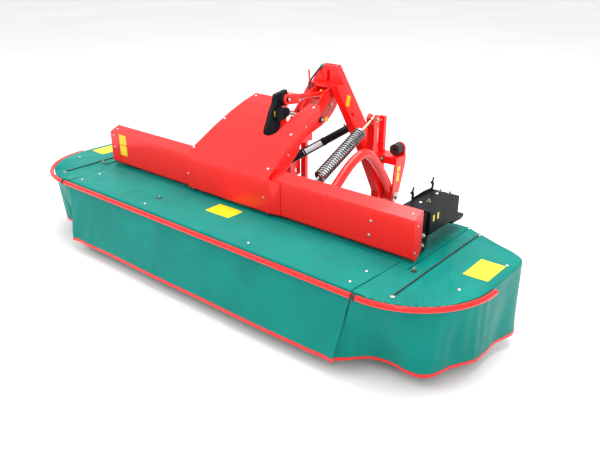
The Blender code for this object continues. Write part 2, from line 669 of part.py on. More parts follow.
def build_cutterbar(mats):
    half = disc_x(DISC_COUNT - 1) + 0.12
    y0, y1 = BAR_Y
    body = prism([(y0, BAR_Z[0] + 0.012), (y0 + 0.05, BAR_Z[0]), (y1, BAR_Z[0]), (y1, BAR_Z[1]),
                  (y0 + 0.03, BAR_Z[1])], "X", -half, half)
    shoe = [(y0 - 0.035, 0.072), (y0 - 0.025, 0.045), (y0 + 0.04, 0.006), (y0 + 0.10, 0.0), (y1, 0.0),
            (y1 + 0.06, 0.010), (y1 + 0.06, 0.018), (y1, 0.046), (y0 + 0.04, 0.05), (y0 - 0.01, 0.075)]
    pieces = [body]
    for i in range(DISC_COUNT):
        pieces.append(prism(shoe, "X", disc_x(i) - 0.075, disc_x(i) + 0.075))
    x, y = DRIVE_IN
    pieces.append(block((x - 0.045, y1 - 0.02, 0.050), (x + 0.045, y + 0.040, BAR_Z[1])))
    finish(fuse(*pieces), "cutterbar", mats["steel"])


def build_discs(mats):
    for i in range(DISC_COUNT):
        x = disc_x(i)
        low, high = BAR_Z[1] + 0.004, BAR_Z[1] + 0.046
        rings = []
        for z, share in ((low + 0.010, 0.96), (low + 0.020, 1.0), (high, 0.42)):
            rings.append([(x + DISC_R * share * math.cos(a), DISC_Y + DISC_R * 0.78 * share * math.sin(a), z)
                          for a in [2 * math.pi * k / 28 for k in range(28)]])
        pieces = [loft(rings), bar((x, DISC_Y, BAR_Z[1] + 0.001), (x, DISC_Y, high + 0.012), 0.045, 20)]
        for side in (-1, 1):
            tip = x + side * KNIFE_R
            root = x + side * (DISC_R - 0.035)
            outline = [(root, DISC_Y - 0.022), (root, DISC_Y + 0.022), (tip - side * 0.004, DISC_Y + 0.020),
                       (tip, DISC_Y), (tip - side * 0.004, DISC_Y - 0.020)]
            pieces.append(prism(outline, "Z", KNIFE_Z - 0.002, KNIFE_Z + 0.002))
        if i in (0, DISC_COUNT - 1):
            pieces.append(bar((x, DISC_Y, high), (x, DISC_Y, high + 0.20), 0.085, 24, 0.060))
            pieces.append(bar((x, DISC_Y, high + 0.195), (x, DISC_Y, high + 0.205), 0.115, 24))
        disc = fuse(*pieces)
        if i % 2:
            disc.data.transform(Matrix.Translation((x, DISC_Y, 0)) @ Matrix.Rotation(math.pi / 2, 4, "Z")
                                @ Matrix.Translation((-x, -DISC_Y, 0)))
        finish(disc, f"cutting_disc_{i + 1}", mats["steel"], (x, DISC_Y, 0))


# ---- guards ----------------------------------------------------------------
def build_front_guard(mats):
    end = SPLIT_X - 0.003
    pieces = [pipe([(-end, GUARD_FRONT_Y, RAIL_Z), (end, GUARD_FRONT_Y, RAIL_Z)], RAIL_R)]
    y, z = FRONT_HINGE
    for x in FRONT_BAR_X:
        pieces.append(block((x - 0.02, COVER_FRONT_Y + 0.016, z - 0.006), (x + 0.02, y, z + 0.003)))
        pieces.append(across(x - 0.02, x + 0.02, FRONT_HINGE, HINGE_ROD_R + 0.004))
        pieces.append(bar((x, COVER_FRONT_Y + 0.018, 0.458), (x, GUARD_FRONT_Y, 0.4615), 0.006, 10))
    pieces.append(block((-1.10, COVER_FRONT_Y + 0.016, z - 0.006), (1.10, COVER_FRONT_Y + 0.036, z + 0.003)))
    rail = cut(fuse(*pieces), across(-1.2, 1.2, FRONT_HINGE, HINGE_ROD_R + GAP))
    finish(rail, "front_rail", mats["red"], (0, *FRONT_HINGE))


def sheet_solid(faces_of, thickness):
    """Closed solid from an open sheet, its wall laid on the inner side."""
    bm = bmesh.new()
    faces_of(bm)
    bmesh.ops.remove_doubles(bm, verts=bm.verts, dist=1e-6)
    mesh = bpy.data.meshes.new("sheet")
    bm.to_mesh(mesh)
    bm.free()
    obj = bpy.data.objects.new("sheet", mesh)
    bpy.context.scene.collection.objects.link(obj)
    modifier = obj.modifiers.new("wall", "SOLIDIFY")
    modifier.thickness = thickness
    modifier.offset = -1.0
    modifier.use_even_offset = True
    graph = bpy.context.evaluated_depsgraph_get()
    obj.data = bpy.data.meshes.new_from_object(obj.evaluated_get(graph))
    obj.modifiers.clear()
    return obj


def build_front_cover(mats):
    top_x = SPLIT_X - 0.026
    rows = [(COVER_SEAM_Y, COVER_TOP, top_x + 0.019), (COVER_FRONT_Y + 0.012, COVER_TOP, top_x),
            (COVER_FRONT_Y, COVER_TOP - 0.012, top_x), (COVER_FRONT_Y - HEM_OUT, HEM_Z, HEM_HALF_X)]

    def faces(bm):
        left = [bm.verts.new((-x, y, z)) for y, z, x in rows]
        right = [bm.verts.new((x, y, z)) for y, z, x in rows]
        for i in range(len(rows) - 1):
            bm.faces.new((left[i], left[i + 1], right[i + 1], right[i]))

    obj = sheet_solid(faces, COVER_WALL)
    holes = [bar((x, COVER_FRONT_Y + 0.03, 0.4585), (x, GUARD_FRONT_Y, 0.4615), 0.0075, 10)
             for x in FRONT_BAR_X]
    finish(cut(obj, *holes), "front_cover", mats["cloth"])


def side_outline():
    """Top edge of the right side cover, from its front inner corner round to the rear."""
    centre = (COVER_HALF_X - 0.438, COVER_FRONT_Y + 0.438)
    front = SPLIT_X - 0.012
    points = [(front, COVER_FRONT_Y)]
    points += arc(centre, 0.438, -90, 0, 12)
    points += [(COVER_HALF_X, -0.085), (1.635, 0.084), (1.569, 0.148), (1.468, 0.188), (1.325, 0.253)]
    return points


def side_hem():
    """Lower edge of the side curtain, one point for each outline point down to the rear corner."""
    return [(1.122, -0.697), (1.152, -0.640), (1.190, -0.590), (1.245, -0.578), (1.320, -0.575),
            (1.400, -0.586), (1.462, -0.580), (1.505, -0.548), (1.528, -0.495), (1.545, -0.425),
            (1.590, -0.340), (1.612, -0.294), (1.618, -0.240), (1.620, -0.185), (1.620, -0.085),
            (1.652, 0.065), (1.585, 0.140)]


def build_side_covers(mats):
    outline = side_outline()
    hem = side_hem()
    hinge = SIDE_HINGE_X + 0.004

    def faces(bm):
        ring = [bm.verts.new((x, y, COVER_TOP)) for x, y in outline]
        inner = [bm.verts.new((hinge, COVER_REAR_Y - 0.010, COVER_TOP)),
                 bm.verts.new((hinge, EAR_FRONT_Y - 0.007, COVER_TOP)),
                 bm.verts.new((SPLIT_X + 0.007, EAR_FRONT_Y - 0.007, COVER_TOP))]
        bm.faces.new(ring + inner)
        low = [bm.verts.new((x, y, HEM_Z - 0.01)) for x, y in hem]
        for i in range(len(low) - 1):
            bm.faces.new((ring[i], low[i], low[i + 1], ring[i + 1]))

    cover = sheet_solid(faces, COVER_WALL)
    stub = stub_line(45)
    cover = cut(cover, bar(*stub, 0.0085, 10))
    finish(opposite(cover), "side_cover_left", mats["cloth"])
    finish(cover, "side_cover_right", mats["cloth"])


def stub_line(angle):
    """Peg that ties the side rail to its frame, at an angle round the corner."""
    a = math.radians(angle)
    cx, cy = GUARD_HALF_X - GUARD_ARC, GUARD_FRONT_Y + GUARD_ARC
    inner, outer = GUARD_ARC - 0.075, GUARD_ARC
    place = lambda r, z: (cx + r * math.sin(a), cy - r * math.cos(a), z)
    return place(inner, 0.4585), place(outer, 0.4615)


def build_side_rails(mats):
    cx, cy = GUARD_HALF_X - GUARD_ARC, GUARD_FRONT_Y + GUARD_ARC
    path = [(SPLIT_X + 0.003, GUARD_FRONT_Y, RAIL_Z)]
    path += [(x, y, RAIL_Z) for x, y in arc((cx, cy), GUARD_ARC, -90, 0, 16)]
    rail = pipe(path, RAIL_R)
    inner = GUARD_ARC - 0.065
    under = [(x, y, 0.4565) for x, y in arc((cx, cy), inner, -80, 0, 12)]
    under += [(cx + inner, 0.065, 0.4565)]
    hoop = pipe(under, 0.0055, 2)
    low = SIDE_HINGE_X + 0.012
    bars = [block((low, y - 0.015, 0.452), (cx + inner, y + 0.015, 0.461)) for y in (-0.265, 0.045)]
    side = fuse(rail, hoop, *bars, bar(*stub_line(45), 0.006, 10))
    finish(opposite(side), "side_rail_left", mats["red"], (-SIDE_HINGE_X, 0, SIDE_HINGE_Z))
    finish(side, "side_rail_right", mats["red"], (SIDE_HINGE_X, 0, SIDE_HINGE_Z))


def build_deck(mats):
    half = SIDE_HINGE_X - 0.008
    ear = SPLIT_X
    outline = [(-half, COVER_REAR_Y), (-half, EAR_FRONT_Y), (-ear, EAR_FRONT_Y), (-ear, DECK_FRONT_Y),
               (ear, DECK_FRONT_Y), (ear, EAR_FRONT_Y), (half, EAR_FRONT_Y), (half, COVER_REAR_Y)]
    deck = prism(outline, "Z", DECK_TOP - COVER_WALL, DECK_TOP)
    tools = [block((x - 0.007, BEAM_Y[0] - 0.002, 0.4), (x + 0.007, -0.105, 0.55)) for x in (-HANGER_X, HANGER_X)]
    tools.append(bar((*DRIVE_IN, 0.4), (*DRIVE_IN, 0.55), DRIVE_IN_R + GAP, 24))
    finish(cut(deck, *tools), "rear_deck", mats["cloth"])


# ---- hose ------------------------------------------------------------------
HOSE_ROUTE = [(-0.005, 0.5237, 1.180), (-0.020, 0.515, 1.160), (-0.030, 0.496, 1.135),
              (-0.040, 0.472, 1.108), (-0.046, 0.4615, 1.080), (-0.049, 0.459, 1.050),
              (-0.038, 0.458, 1.034), (-0.026, 0.460, 1.046), (-0.023, 0.4687, 1.074)]
HOSE_R = 0.006


def build_hose(mats):
    finish(pipe(smooth_route(HOSE_ROUTE), HOSE_R, 2), "lift_hose", mats["rubber"])


def main():
    for obj in list(bpy.data.objects):
        bpy.data.objects.remove(obj)
    mats = {name: material(name, *values) for name, values in finishes().items()}
    for build in (build_mast, build_hitch_pins, build_buffers, build_stands, build_nose, build_arms,
                  build_springs, build_upper_link, build_lift_cylinder, build_main_beam, build_tower,
                  build_gearbox, build_drive_shaft, build_beam_cover, build_hood, build_drive_box,
                  build_hangers, build_cutterbar, build_discs, build_front_guard, build_front_cover,
                  build_side_covers, build_side_rails, build_deck, build_hose):
        build(mats)


main()
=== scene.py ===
"""Looks of a front disc mower: paint, guards' cloth, springs, fittings, light and camera."""
import math

import bpy
from bpy.props import FloatProperty, FloatVectorProperty, IntProperty, PointerProperty
from mathutils import Matrix, Vector


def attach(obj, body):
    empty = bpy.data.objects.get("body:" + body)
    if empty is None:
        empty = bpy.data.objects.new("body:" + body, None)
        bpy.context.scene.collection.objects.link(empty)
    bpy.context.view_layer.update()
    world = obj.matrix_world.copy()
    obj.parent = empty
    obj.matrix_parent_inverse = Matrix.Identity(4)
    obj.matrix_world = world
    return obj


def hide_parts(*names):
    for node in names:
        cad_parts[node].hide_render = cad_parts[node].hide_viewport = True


bl_info = {
    "name": "Disc mower looks",
    "version": (1, 0, 0),
    "blender": (4, 5, 0),
    "location": "View3D > Sidebar > Mower",
    "description": "Paint, cloth guards, springs and fittings of a front disc mower",
    "category": "Object",
}

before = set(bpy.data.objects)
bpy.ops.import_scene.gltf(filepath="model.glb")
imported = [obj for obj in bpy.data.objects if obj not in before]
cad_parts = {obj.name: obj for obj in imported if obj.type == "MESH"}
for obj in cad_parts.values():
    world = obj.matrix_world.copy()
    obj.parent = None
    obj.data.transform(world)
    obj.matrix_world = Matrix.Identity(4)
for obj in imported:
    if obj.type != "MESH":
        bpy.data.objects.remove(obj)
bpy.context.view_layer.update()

# Sizes are in metres: X along the machine, -Y to its front, Z up from the floor.
HEAD_X = 0.05                        # middle of the headstock
COVER_TOP = 0.477                    # top of the guards' cloth
DECK_TOP = 0.4745                    # top of the rear cloth
BEAM_FACE_Y = -0.292
HOOD_FACE_Y = -0.309
END_FACE_X = 1.2272                  # end faces of the beam cover
BOX_TOP = 0.6951                     # top of the belt box
DISC_COUNT = 8
# (y, z) of pins and eyes in the plane of the side view
HITCH_PIN = (0.630, 0.385)
LINK_FRONT = (0.083, 1.060)
LINK_REAR = (0.505, 1.020)
ROD_EYE = (0.085, 0.980)
BARREL_EYE = (0.382, 0.878)
SLOT_PIN = (0.487, 0.960)
SPRING_X = 0.38                      # to either side of the headstock's middle
SPRING_PIN = (0.500, 0.915)
SPRING_ANCHOR = (-0.100, 0.645)
SPRING_COIL = (0.143, 0.593)         # where the coil starts and ends, from the pin
SHAFT_FRONT = (0.0, 0.010, 0.607)
SHAFT_REAR = (0.172, 0.690, 0.799)
SHAFT_SKIN = 0.0266                  # radius at which the shaft's label lies
# (y, z) along the top of the hood, from its front edge to its rear edge
HOOD_PROFILE = [(-0.309, 0.718), (-0.210, 0.795), (-0.125, 0.863), (-0.001, 0.951),
                (0.084, 1.001), (0.162, 1.038)]
# the front guard in side view: fold over the rail and curtain below it
FOLD_R = 0.012
CURTAIN_Y = -0.703
CURTAIN_DROP = 0.382
CURTAIN_LEAN = 0.060
# the side guard in plan: an arc round its front corner
OUTLINE_CORNER = (1.202, -0.265)
OUTLINE_ARC = 0.438
OUTLINE_END = 18                     # index of the outline's last point
HEM_END = 16                         # the curtain stops at this point
SIDE_COLUMNS = 90
SIDE_TOP_Z = 0.465
SIDE_DROP = 0.392
HEM_WALL = 0.0056
HEM_STAND_OFF = 0.0016
UP, FRONT, RIGHT = (0, 0, 1), (0, -1, 0), (1, 0, 0)
SIDES = ((1, "right"), (-1, "left"))


# ---- sizes and colours
def colour_of(name, description, default):
    return FloatVectorProperty(name=name, description=description, subtype="COLOR", size=3,
                               min=0, max=1, default=default)


def length_of(name, description, default):
    return FloatProperty(name=name, description=description, unit="LENGTH", default=default)


class MowerFinish(bpy.types.PropertyGroup):
    """Colours of the machine"""
    paint: colour_of("Paint", "Gloss paint of frame and hood", (0.90, 0.010, 0.008))
    cloth: colour_of("Cloth", "Coated cloth of the guards", (0.0005, 0.205, 0.170))
    black: colour_of("Black", "Black paint and plastics", (0.012, 0.014, 0.017))
    label: colour_of("Label", "Blank stickers", (0.93, 0.68, 0.01))


class MowerCloth(bpy.types.PropertyGroup):
    """Sizes of the guards' cloth"""
    wall: length_of("Cloth thickness", "Thickness of the coated cloth", 0.0025)
    binding: length_of("Hem binding", "Height of the binding on the hems", 0.017)
    strap: length_of("Strap diameter", "Diameter of the elastic straps", 0.008)


class MowerSpring(bpy.types.PropertyGroup):
    """Sizes of the relief springs"""
    turns: IntProperty(name="Turns", description="Turns of each relief spring", default=24)
    wire: length_of("Wire", "Wire diameter of the relief springs", 0.0112)
    radius: length_of("Coil radius", "Outer radius of the relief springs", 0.040)


# ---- materials
def fresh(name):
    """A named material with its shader, its nodes and its object coordinates."""
    mat = bpy.data.materials.new(name)
    mat.use_nodes = True
    tree = mat.node_tree
    shader = tree.nodes["Principled BSDF"]
    coords = tree.nodes.new("ShaderNodeTexCoord")
    return mat, tree, shader, coords.outputs["Object"]


def noise(tree, where, scale, detail=3.0, rough=0.5):
    node = tree.nodes.new("ShaderNodeTexNoise")
    node.inputs["Scale"].default_value = scale
    node.inputs["Detail"].default_value = detail
    node.inputs["Roughness"].default_value = rough
    tree.links.new(where, node.inputs["Vector"])
    return node.outputs["Fac"]


def shades(tree, value, stops):
    ramp = tree.nodes.new("ShaderNodeValToRGB")
    ramp.color_ramp.elements[0].position = stops[0][0]
    ramp.color_ramp.elements[0].color = (*stops[0][1], 1)
    ramp.color_ramp.elements[1].position = stops[-1][0]
    ramp.color_ramp.elements[1].color = (*stops[-1][1], 1)
    for place, colour in stops[1:-1]:
        ramp.color_ramp.elements.new(place).color = (*colour, 1)
    tree.links.new(value, ramp.inputs["Fac"])
    return ramp.outputs["Color"]


def ranged(tree, value, low, high):
    node = tree.nodes.new("ShaderNodeMapRange")
    node.inputs["To Min"].default_value = low
    node.inputs["To Max"].default_value = high
    tree.links.new(value, node.inputs["Value"])
    return node.outputs["Result"]


def bump(tree, shader, height, strength, distance, under=None):
    node = tree.nodes.new("ShaderNodeBump")
    node.inputs["Strength"].default_value = strength
    node.inputs["Distance"].default_value = distance
    tree.links.new(height, node.inputs["Height"])
    if under is not None:
        tree.links.new(under, node.inputs["Normal"])
    tree.links.new(node.outputs["Normal"], shader.inputs["Normal"])
    return node.outputs["Normal"]


def tint(colour, factor):
    return tuple(min(1.0, c * factor) for c in colour)


def surface(name, stops, grain, rough_grain, rough):
    """A material whose colour and roughness each follow a noise of their own."""
    mat, tree, shader, place = fresh(name)
    colours = shades(tree, noise(tree, place, *grain), stops)
    tree.links.new(colours, shader.inputs["Base Color"])
    tree.links.new(ranged(tree, noise(tree, place, *rough_grain), *rough),
                   shader.inputs["Roughness"])
    return mat, tree, shader, place


def gloss_paint(name, colour):
    """Sprayed gloss paint: a faint orange peel, slight fading and thin dust."""
    mat, tree, shader, place = surface(name, [(0.2, tint(colour, 0.95)), (0.8, colour)],
                                       (3.0, 1.0), (9.0, 2.0), (0.24, 0.34))
    shader.inputs["Specular IOR Level"].default_value = 0.30
    shader.inputs["Coat Weight"].default_value = 0.30
    shader.inputs["Coat Roughness"].default_value = 0.10
    bump(tree, shader, noise(tree, place, 90.0, 1.0), 0.05, 0.0004)
    return mat


def black_paint(name, colour, rough):
    mat, tree, shader, place = surface(name, [(0.35, colour), (0.8, tint(colour, 1.8))],
                                       (22.0, 6.0), (40.0, 4.0), (rough - 0.1, rough + 0.12))
    shader.inputs["Specular IOR Level"].default_value = 0.06
    bump(tree, shader, noise(tree, place, 320.0, 2.0), 0.2, 0.0005)
    return mat


def plated(name, colour, rough, spread):
    """Plated or machined metal with faint stains."""
    mat, tree, shader, place = surface(name, [(0.3, tint(colour, 0.62)), (0.65, colour)],
                                       (35.0, 6.0, 0.65), (60.0, 4.0), (rough, rough + spread))
    shader.inputs["Metallic"].default_value = 1.0
    bump(tree, shader, noise(tree, place, 480.0, 2.0), 0.1, 0.0003)
    return mat


def coated_cloth(name, colour):
    """Coated cloth: the woven base shows through, with soft creases over it."""
    mat, tree, shader, _ = fresh(name)
    chart = tree.nodes.new("ShaderNodeUVMap")
    chart.uv_map = "cloth"
    place = chart.outputs["UV"]
    faded = shades(tree, noise(tree, place, 3.0, 5.0, 0.6),
                   [(0.25, tint(colour, 0.78)), (0.75, tint(colour, 1.12))])
    tree.links.new(faded, shader.inputs["Base Color"])
    tree.links.new(ranged(tree, noise(tree, place, 9.0, 5.0), 0.30, 0.46),
                   shader.inputs["Roughness"])
    shader.inputs["Specular IOR Level"].default_value = 0.10
    weave = []
    for direction in ("X", "Y"):
        wave = tree.nodes.new("ShaderNodeTexWave")
        wave.bands_direction = direction
        wave.inputs["Scale"].default_value = 160.0
        wave.inputs["Distortion"].default_value = 0.4
        tree.links.new(place, wave.inputs["Vector"])
        weave.append(wave.outputs["Fac"])
    cross = tree.nodes.new("ShaderNodeMath")
    cross.operation = "MULTIPLY"
    tree.links.new(weave[0], cross.inputs[0])
    tree.links.new(weave[1], cross.inputs[1])
    creases = bump(tree, shader, noise(tree, place, 7.0, 4.0, 0.55), 0.60, 0.014)
    bump(tree, shader, cross.outputs["Value"], 0.10, 0.0004, creases)
    return mat


def rubber(name):
    mat, tree, shader, place = surface(
        name, [(0.35, (0.010, 0.010, 0.011)), (0.8, (0.035, 0.034, 0.033))],
        (30.0, 5.0), (50.0,), (0.55, 0.8))
    bump(tree, shader, noise(tree, place, 300.0), 0.25, 0.0005)
    return mat


def sticker(name, colour):
    return surface(name, [(0.3, tint(colour, 0.88)), (0.7, colour)], (18.0,), (30.0,),
                   (0.3, 0.45))[0]


def finish(name):
    return bpy.data.materials[name]


# ---- modelling helpers
def take(obj):
    """Selects only this object."""
    nothing_selected()
    obj.select_set(True)
    bpy.context.view_layer.objects.active = obj
    return obj


def nothing_selected():
    for other in bpy.context.selected_objects:
        other.select_set(False)


def tidy_normals():
    bpy.ops.mesh.select_all(action="SELECT")
    bpy.ops.mesh.remove_doubles(threshold=0.00001)
    bpy.ops.mesh.normals_make_consistent(inside=False)


def turned(place, axis, profile, sides=24):
    """A turned piece from (distance along the axis, radius) pairs."""
    start, along = Vector(place), Vector(axis).normalized()
    nothing_selected()
    turn = along.to_track_quat("Z", "Y").to_euler()
    bpy.ops.mesh.primitive_circle_add(vertices=sides, radius=profile[0][1], fill_type="NGON",
                                      location=start + along * profile[0][0], rotation=turn)
    obj = bpy.context.object
    bpy.ops.object.transform_apply(location=True, rotation=True, scale=True)
    bpy.ops.object.mode_set(mode="EDIT")
    for (low, narrow), (high, wide) in zip(profile, profile[1:]):
        bpy.ops.mesh.extrude_region_move(TRANSFORM_OT_translate={"value": along * (high - low)})
        bpy.ops.transform.resize(value=(wide / narrow,) * 3, center_override=start + along * high)
    tidy_normals()
    bpy.ops.object.mode_set(mode="OBJECT")
    return obj


def plate(outline, spot, low, high, edge=0.0):
    """A plate cut to an outline; spot(u, v, w) gives a point."""
    nothing_selected()
    bpy.ops.mesh.primitive_circle_add(vertices=len(outline), fill_type="NGON")
    obj = bpy.context.object
    for vertex, (u, v) in zip(obj.data.vertices, outline):
        vertex.co = spot(u, v, low)
    bpy.ops.object.mode_set(mode="EDIT")
    bpy.ops.mesh.select_all(action="SELECT")
    shift = Vector(spot(0, 0, high)) - Vector(spot(0, 0, low))
    bpy.ops.mesh.extrude_region_move(TRANSFORM_OT_translate={"value": shift})
    tidy_normals()
    bpy.ops.object.mode_set(mode="OBJECT")
    if edge:
        soften(obj, edge)
    return obj


def soften(obj, width, segments=2):
    take(obj)
    modifier = obj.modifiers.new("edges", "BEVEL")
    modifier.width = width
    modifier.segments = segments
    modifier.limit_method = "ANGLE"
    modifier.angle_limit = math.radians(35)
    bpy.ops.object.modifier_apply(modifier=modifier.name)
    return obj


def rounded(width, height, corner, steps=4):
    """Outline of a rectangle with round corners, about its middle."""
    points = []
    for cx, cy, start in ((1, 1, 0), (-1, 1, 90), (-1, -1, 180), (1, -1, 270)):
        for i in range(steps + 1):
            a = math.radians(start + 90 * i / steps)
            points.append((cx * (width / 2 - corner) + corner * math.cos(a),
                           cy * (height / 2 - corner) + corner * math.sin(a)))
    return points


def tube(points, radius, resolution=3, cyclic=False):
    """A round tube along points."""
    nothing_selected()
    curve = bpy.data.curves.new("tube", "CURVE")
    curve.dimensions = "3D"
    curve.bevel_depth = radius
    curve.bevel_resolution = resolution
    curve.use_fill_caps = not cyclic
    spline = curve.splines.new("POLY")
    spline.points.add(len(points) - 1)
    spline.use_cyclic_u = cyclic
    for point, place in zip(spline.points, points):
        point.co = (*place, 1.0)
    obj = bpy.data.objects.new("tube", curve)
    bpy.context.scene.collection.objects.link(obj)
    take(obj)
    bpy.ops.object.convert(target="MESH")
    obj = bpy.context.object
    bpy.ops.object.mode_set(mode="EDIT")
    tidy_normals()
    bpy.ops.object.mode_set(mode="OBJECT")
    return obj


def join(*pieces):
    nothing_selected()
    for piece in pieces:
        piece.select_set(True)
    bpy.context.view_layer.objects.active = pieces[0]
    if len(pieces) > 1:
        bpy.ops.object.join()
    return bpy.context.view_layer.objects.active


def copies(master, places):
    """Copies of a piece modelled about the origin along +Z, one at each (place, axis), joined."""
    made = []
    for place, axis in places:
        twin = master.copy()
        twin.data = master.data.copy()
        bpy.context.scene.collection.objects.link(twin)
        turn = Vector(axis).normalized().to_track_quat("Z", "Y").to_matrix().to_4x4()
        twin.data.transform(Matrix.Translation(place) @ turn)
        made.append(twin)
    bpy.data.objects.remove(master)
    return join(*made)


def settle(obj, name, finish_name, body, angle=35):
    """Names a finished piece, gives it its finish and puts it on its body."""
    take(obj)
    bpy.ops.object.transform_apply(location=True, rotation=True, scale=True)
    bpy.ops.object.shade_smooth_by_angle(angle=math.radians(angle))
    obj.name = name
    obj.data.name = name
    obj.data.materials.clear()
    obj.data.materials.append(finish(finish_name))
    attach(obj, body)
    return obj


def nut_and_washer(across, head):
    washer = turned((0, 0, 0), UP, [(0, across * 0.95), (across * 0.12, across * 0.95)], 20)
    r = across / math.sqrt(3)
    nut = turned((0, 0, across * 0.12), UP,
                 [(0, r * 0.9), (head * 0.15, r), (head * 0.8, r), (head, r * 0.85)], 6)
    stud = stub((0, 0, head), UP, across * 0.33, head * 0.4, head * 0.5, across * 0.26, 14)
    return join(washer, nut, stud)


def rivet(radius):
    return turned((0, 0, 0), (0, 0, 1), [(0, radius), (radius * 0.25, radius * 0.95),
                                         (radius * 0.48, radius * 0.7),
                                         (radius * 0.58, radius * 0.25)], 16)


def rivets(name, radius, places, finish_name="zinc_plate", body="mower"):
    return settle(copies(rivet(radius), places), name, finish_name, body)


def stub(place, axis, radius, straight, length, end, sides=20):
    """A short round piece whose far end tapers to a smaller radius."""
    return turned(place, axis, [(0, radius), (straight, radius), (length, end)], sides)


def upright(u, v, w):
    """A point of an outline in the plane of the side view, w along X."""
    return (w, u, v)


def head(side, offset):
    return HEAD_X + side * offset


def repaint(node, finish_name, edge=0.0):
    """Gives a CAD node its finish and, if an edge width is given, softened edges."""
    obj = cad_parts[node]
    for slot in obj.material_slots:
        slot.material = finish(finish_name)
    if not obj.material_slots:
        obj.data.materials.append(finish(finish_name))
    if edge:
        weld = obj.modifiers.new("weld", "WELD")
        weld.merge_threshold = 0.00005
        bevel = obj.modifiers.new("edges", "BEVEL")
        bevel.width = edge
        bevel.segments = 2
        bevel.limit_method = "ANGLE"
        bevel.angle_limit = math.radians(40)
        bevel.harden_normals = True


# ---- finishes
class MOWER_OT_finishes(bpy.types.Operator):
    """Make the finishes and paint the frame's own pieces"""
    bl_idname = "mower.finishes"
    bl_label = "Finishes"

    def execute(self, context):
        colours = context.scene.mower_finish
        gloss_paint("red_paint", tuple(colours.paint))
        gloss_paint("orange_paint", (0.80, 0.12, 0.005))
        gloss_paint("green_cap", (0.0, 0.30, 0.20))
        gloss_paint("binding_red", (0.80, 0.012, 0.016))
        black_paint("black_paint", tint(tuple(colours.black), 0.7), 0.42)
        black_paint("black_plastic", tint(tuple(colours.black), 0.45), 0.36)
        coated_cloth("guard_cloth", tuple(colours.cloth))
        plated("zinc_plate", (0.62, 0.63, 0.62), 0.26, 0.18)
        plated("spring_steel", (0.30, 0.31, 0.32), 0.22, 0.12)
        plated("yellow_zinc", (0.62, 0.55, 0.36), 0.28, 0.16)
        plated("chrome_plate", (0.78, 0.77, 0.75), 0.07, 0.07)
        plated("worn_steel", (0.24, 0.22, 0.20), 0.42, 0.20)
        plated("brown_zinc", (0.42, 0.31, 0.22), 0.40, 0.20)
        rubber("moulded_rubber")
        sticker("yellow_label", tuple(colours.label))
        sticker("white_label", (0.62, 0.63, 0.64))
        red = {"mast_frame": 0.0018, "nose_plates": 0.0015, "parking_stand_left": 0.0015,
               "parking_stand_right": 0.0015, "lift_arm_left": 0.0, "lift_arm_right": 0.0,
               "upper_link": 0.0015, "main_beam": 0.002, "beam_cover": 0.0018, "hood": 0.0014,
               "front_rail": 0.0, "side_rail_left": 0.0, "side_rail_right": 0.0}
        black = {"lift_tower": 0.003, "gearbox": 0.003, "hanger_left": 0.0015,
                 "hanger_right": 0.0015, "drive_column": 0.0, "lift_cylinder": 0.0012}
        for nodes, name in ((red, "red_paint"), (black, "black_paint")):
            for node, edge in nodes.items():
                repaint(node, name, edge)
        for node in ("belt_box", "drive_shaft"):
            repaint(node, "black_plastic", 0.003 if node == "belt_box" else 0.0)
        for node in ("stop_buffer_left", "stop_buffer_right", "lift_hose"):
            repaint(node, "moulded_rubber")
        for node in ("hitch_pin_left", "hitch_pin_right", "lift_cylinder_rod"):
            repaint(node, "chrome_plate", 0.0015)
        for node in ("hinge_rod", "spring_rod_left", "spring_rod_right"):
            repaint(node, "yellow_zinc")
        repaint("cutterbar", "worn_steel", 0.002)
        for i in range(1, DISC_COUNT + 1):
            repaint(f"cutting_disc_{i}", "worn_steel", 0.001)
        return {"FINISHED"}


# ---- guards' cloth
def cloth_piece(points, name, finish_name, body, wall, skip=None, flip=False):
    """Cloth from rows of points, charted in metres; skip(row, column) leaves a face out."""
    nothing_selected()
    bpy.ops.mesh.primitive_grid_add(x_subdivisions=len(points[0]) - 1,
                                    y_subdivisions=len(points) - 1)
    obj = bpy.context.object
    flat = [p for row in points for p in row]
    for vertex, place in zip(obj.data.vertices, flat):
        vertex.co = place
    width = len(points[0])
    across = [0.0]
    for a, b in zip(points[-1], points[-1][1:]):
        across.append(across[-1] + (Vector(b) - Vector(a)).length)
    down = [0.0]
    for row, lower in zip(points, points[1:]):
        down.append(down[-1] + (Vector(lower[width // 2]) - Vector(row[width // 2])).length)
    chart = obj.data.uv_layers.active or obj.data.uv_layers.new()
    chart.name = "cloth"
    for loop in obj.data.loops:
        row, column = divmod(loop.vertex_index, width)
        chart.data[loop.index].uv = (across[column], down[row])
    take(obj)
    bpy.ops.object.mode_set(mode="EDIT")
    bpy.ops.mesh.select_all(action="DESELECT")
    bpy.ops.object.mode_set(mode="OBJECT")
    if skip:
        for face in obj.data.polygons:
            row, column = divmod(min(face.vertices), width)
            face.select = skip(row, column)
        bpy.ops.object.mode_set(mode="EDIT")
        bpy.ops.mesh.select_mode(type="FACE")
        bpy.ops.mesh.delete(type="FACE")
        bpy.ops.mesh.select_mode(type="VERT")
        bpy.ops.object.mode_set(mode="OBJECT")
    if flip:
        obj.data.flip_normals()
    area = sum(face.area for face in obj.data.polygons)
    solid = obj.modifiers.new("wall", "SOLIDIFY")
    solid.thickness = wall
    solid.offset = -1.0
    bpy.ops.object.modifier_apply(modifier=solid.name)
    settle(obj, name, finish_name, body, 60)
    return obj, area


def span(low, high, count):
    return [low + (high - low) * i / count for i in range(count + 1)]


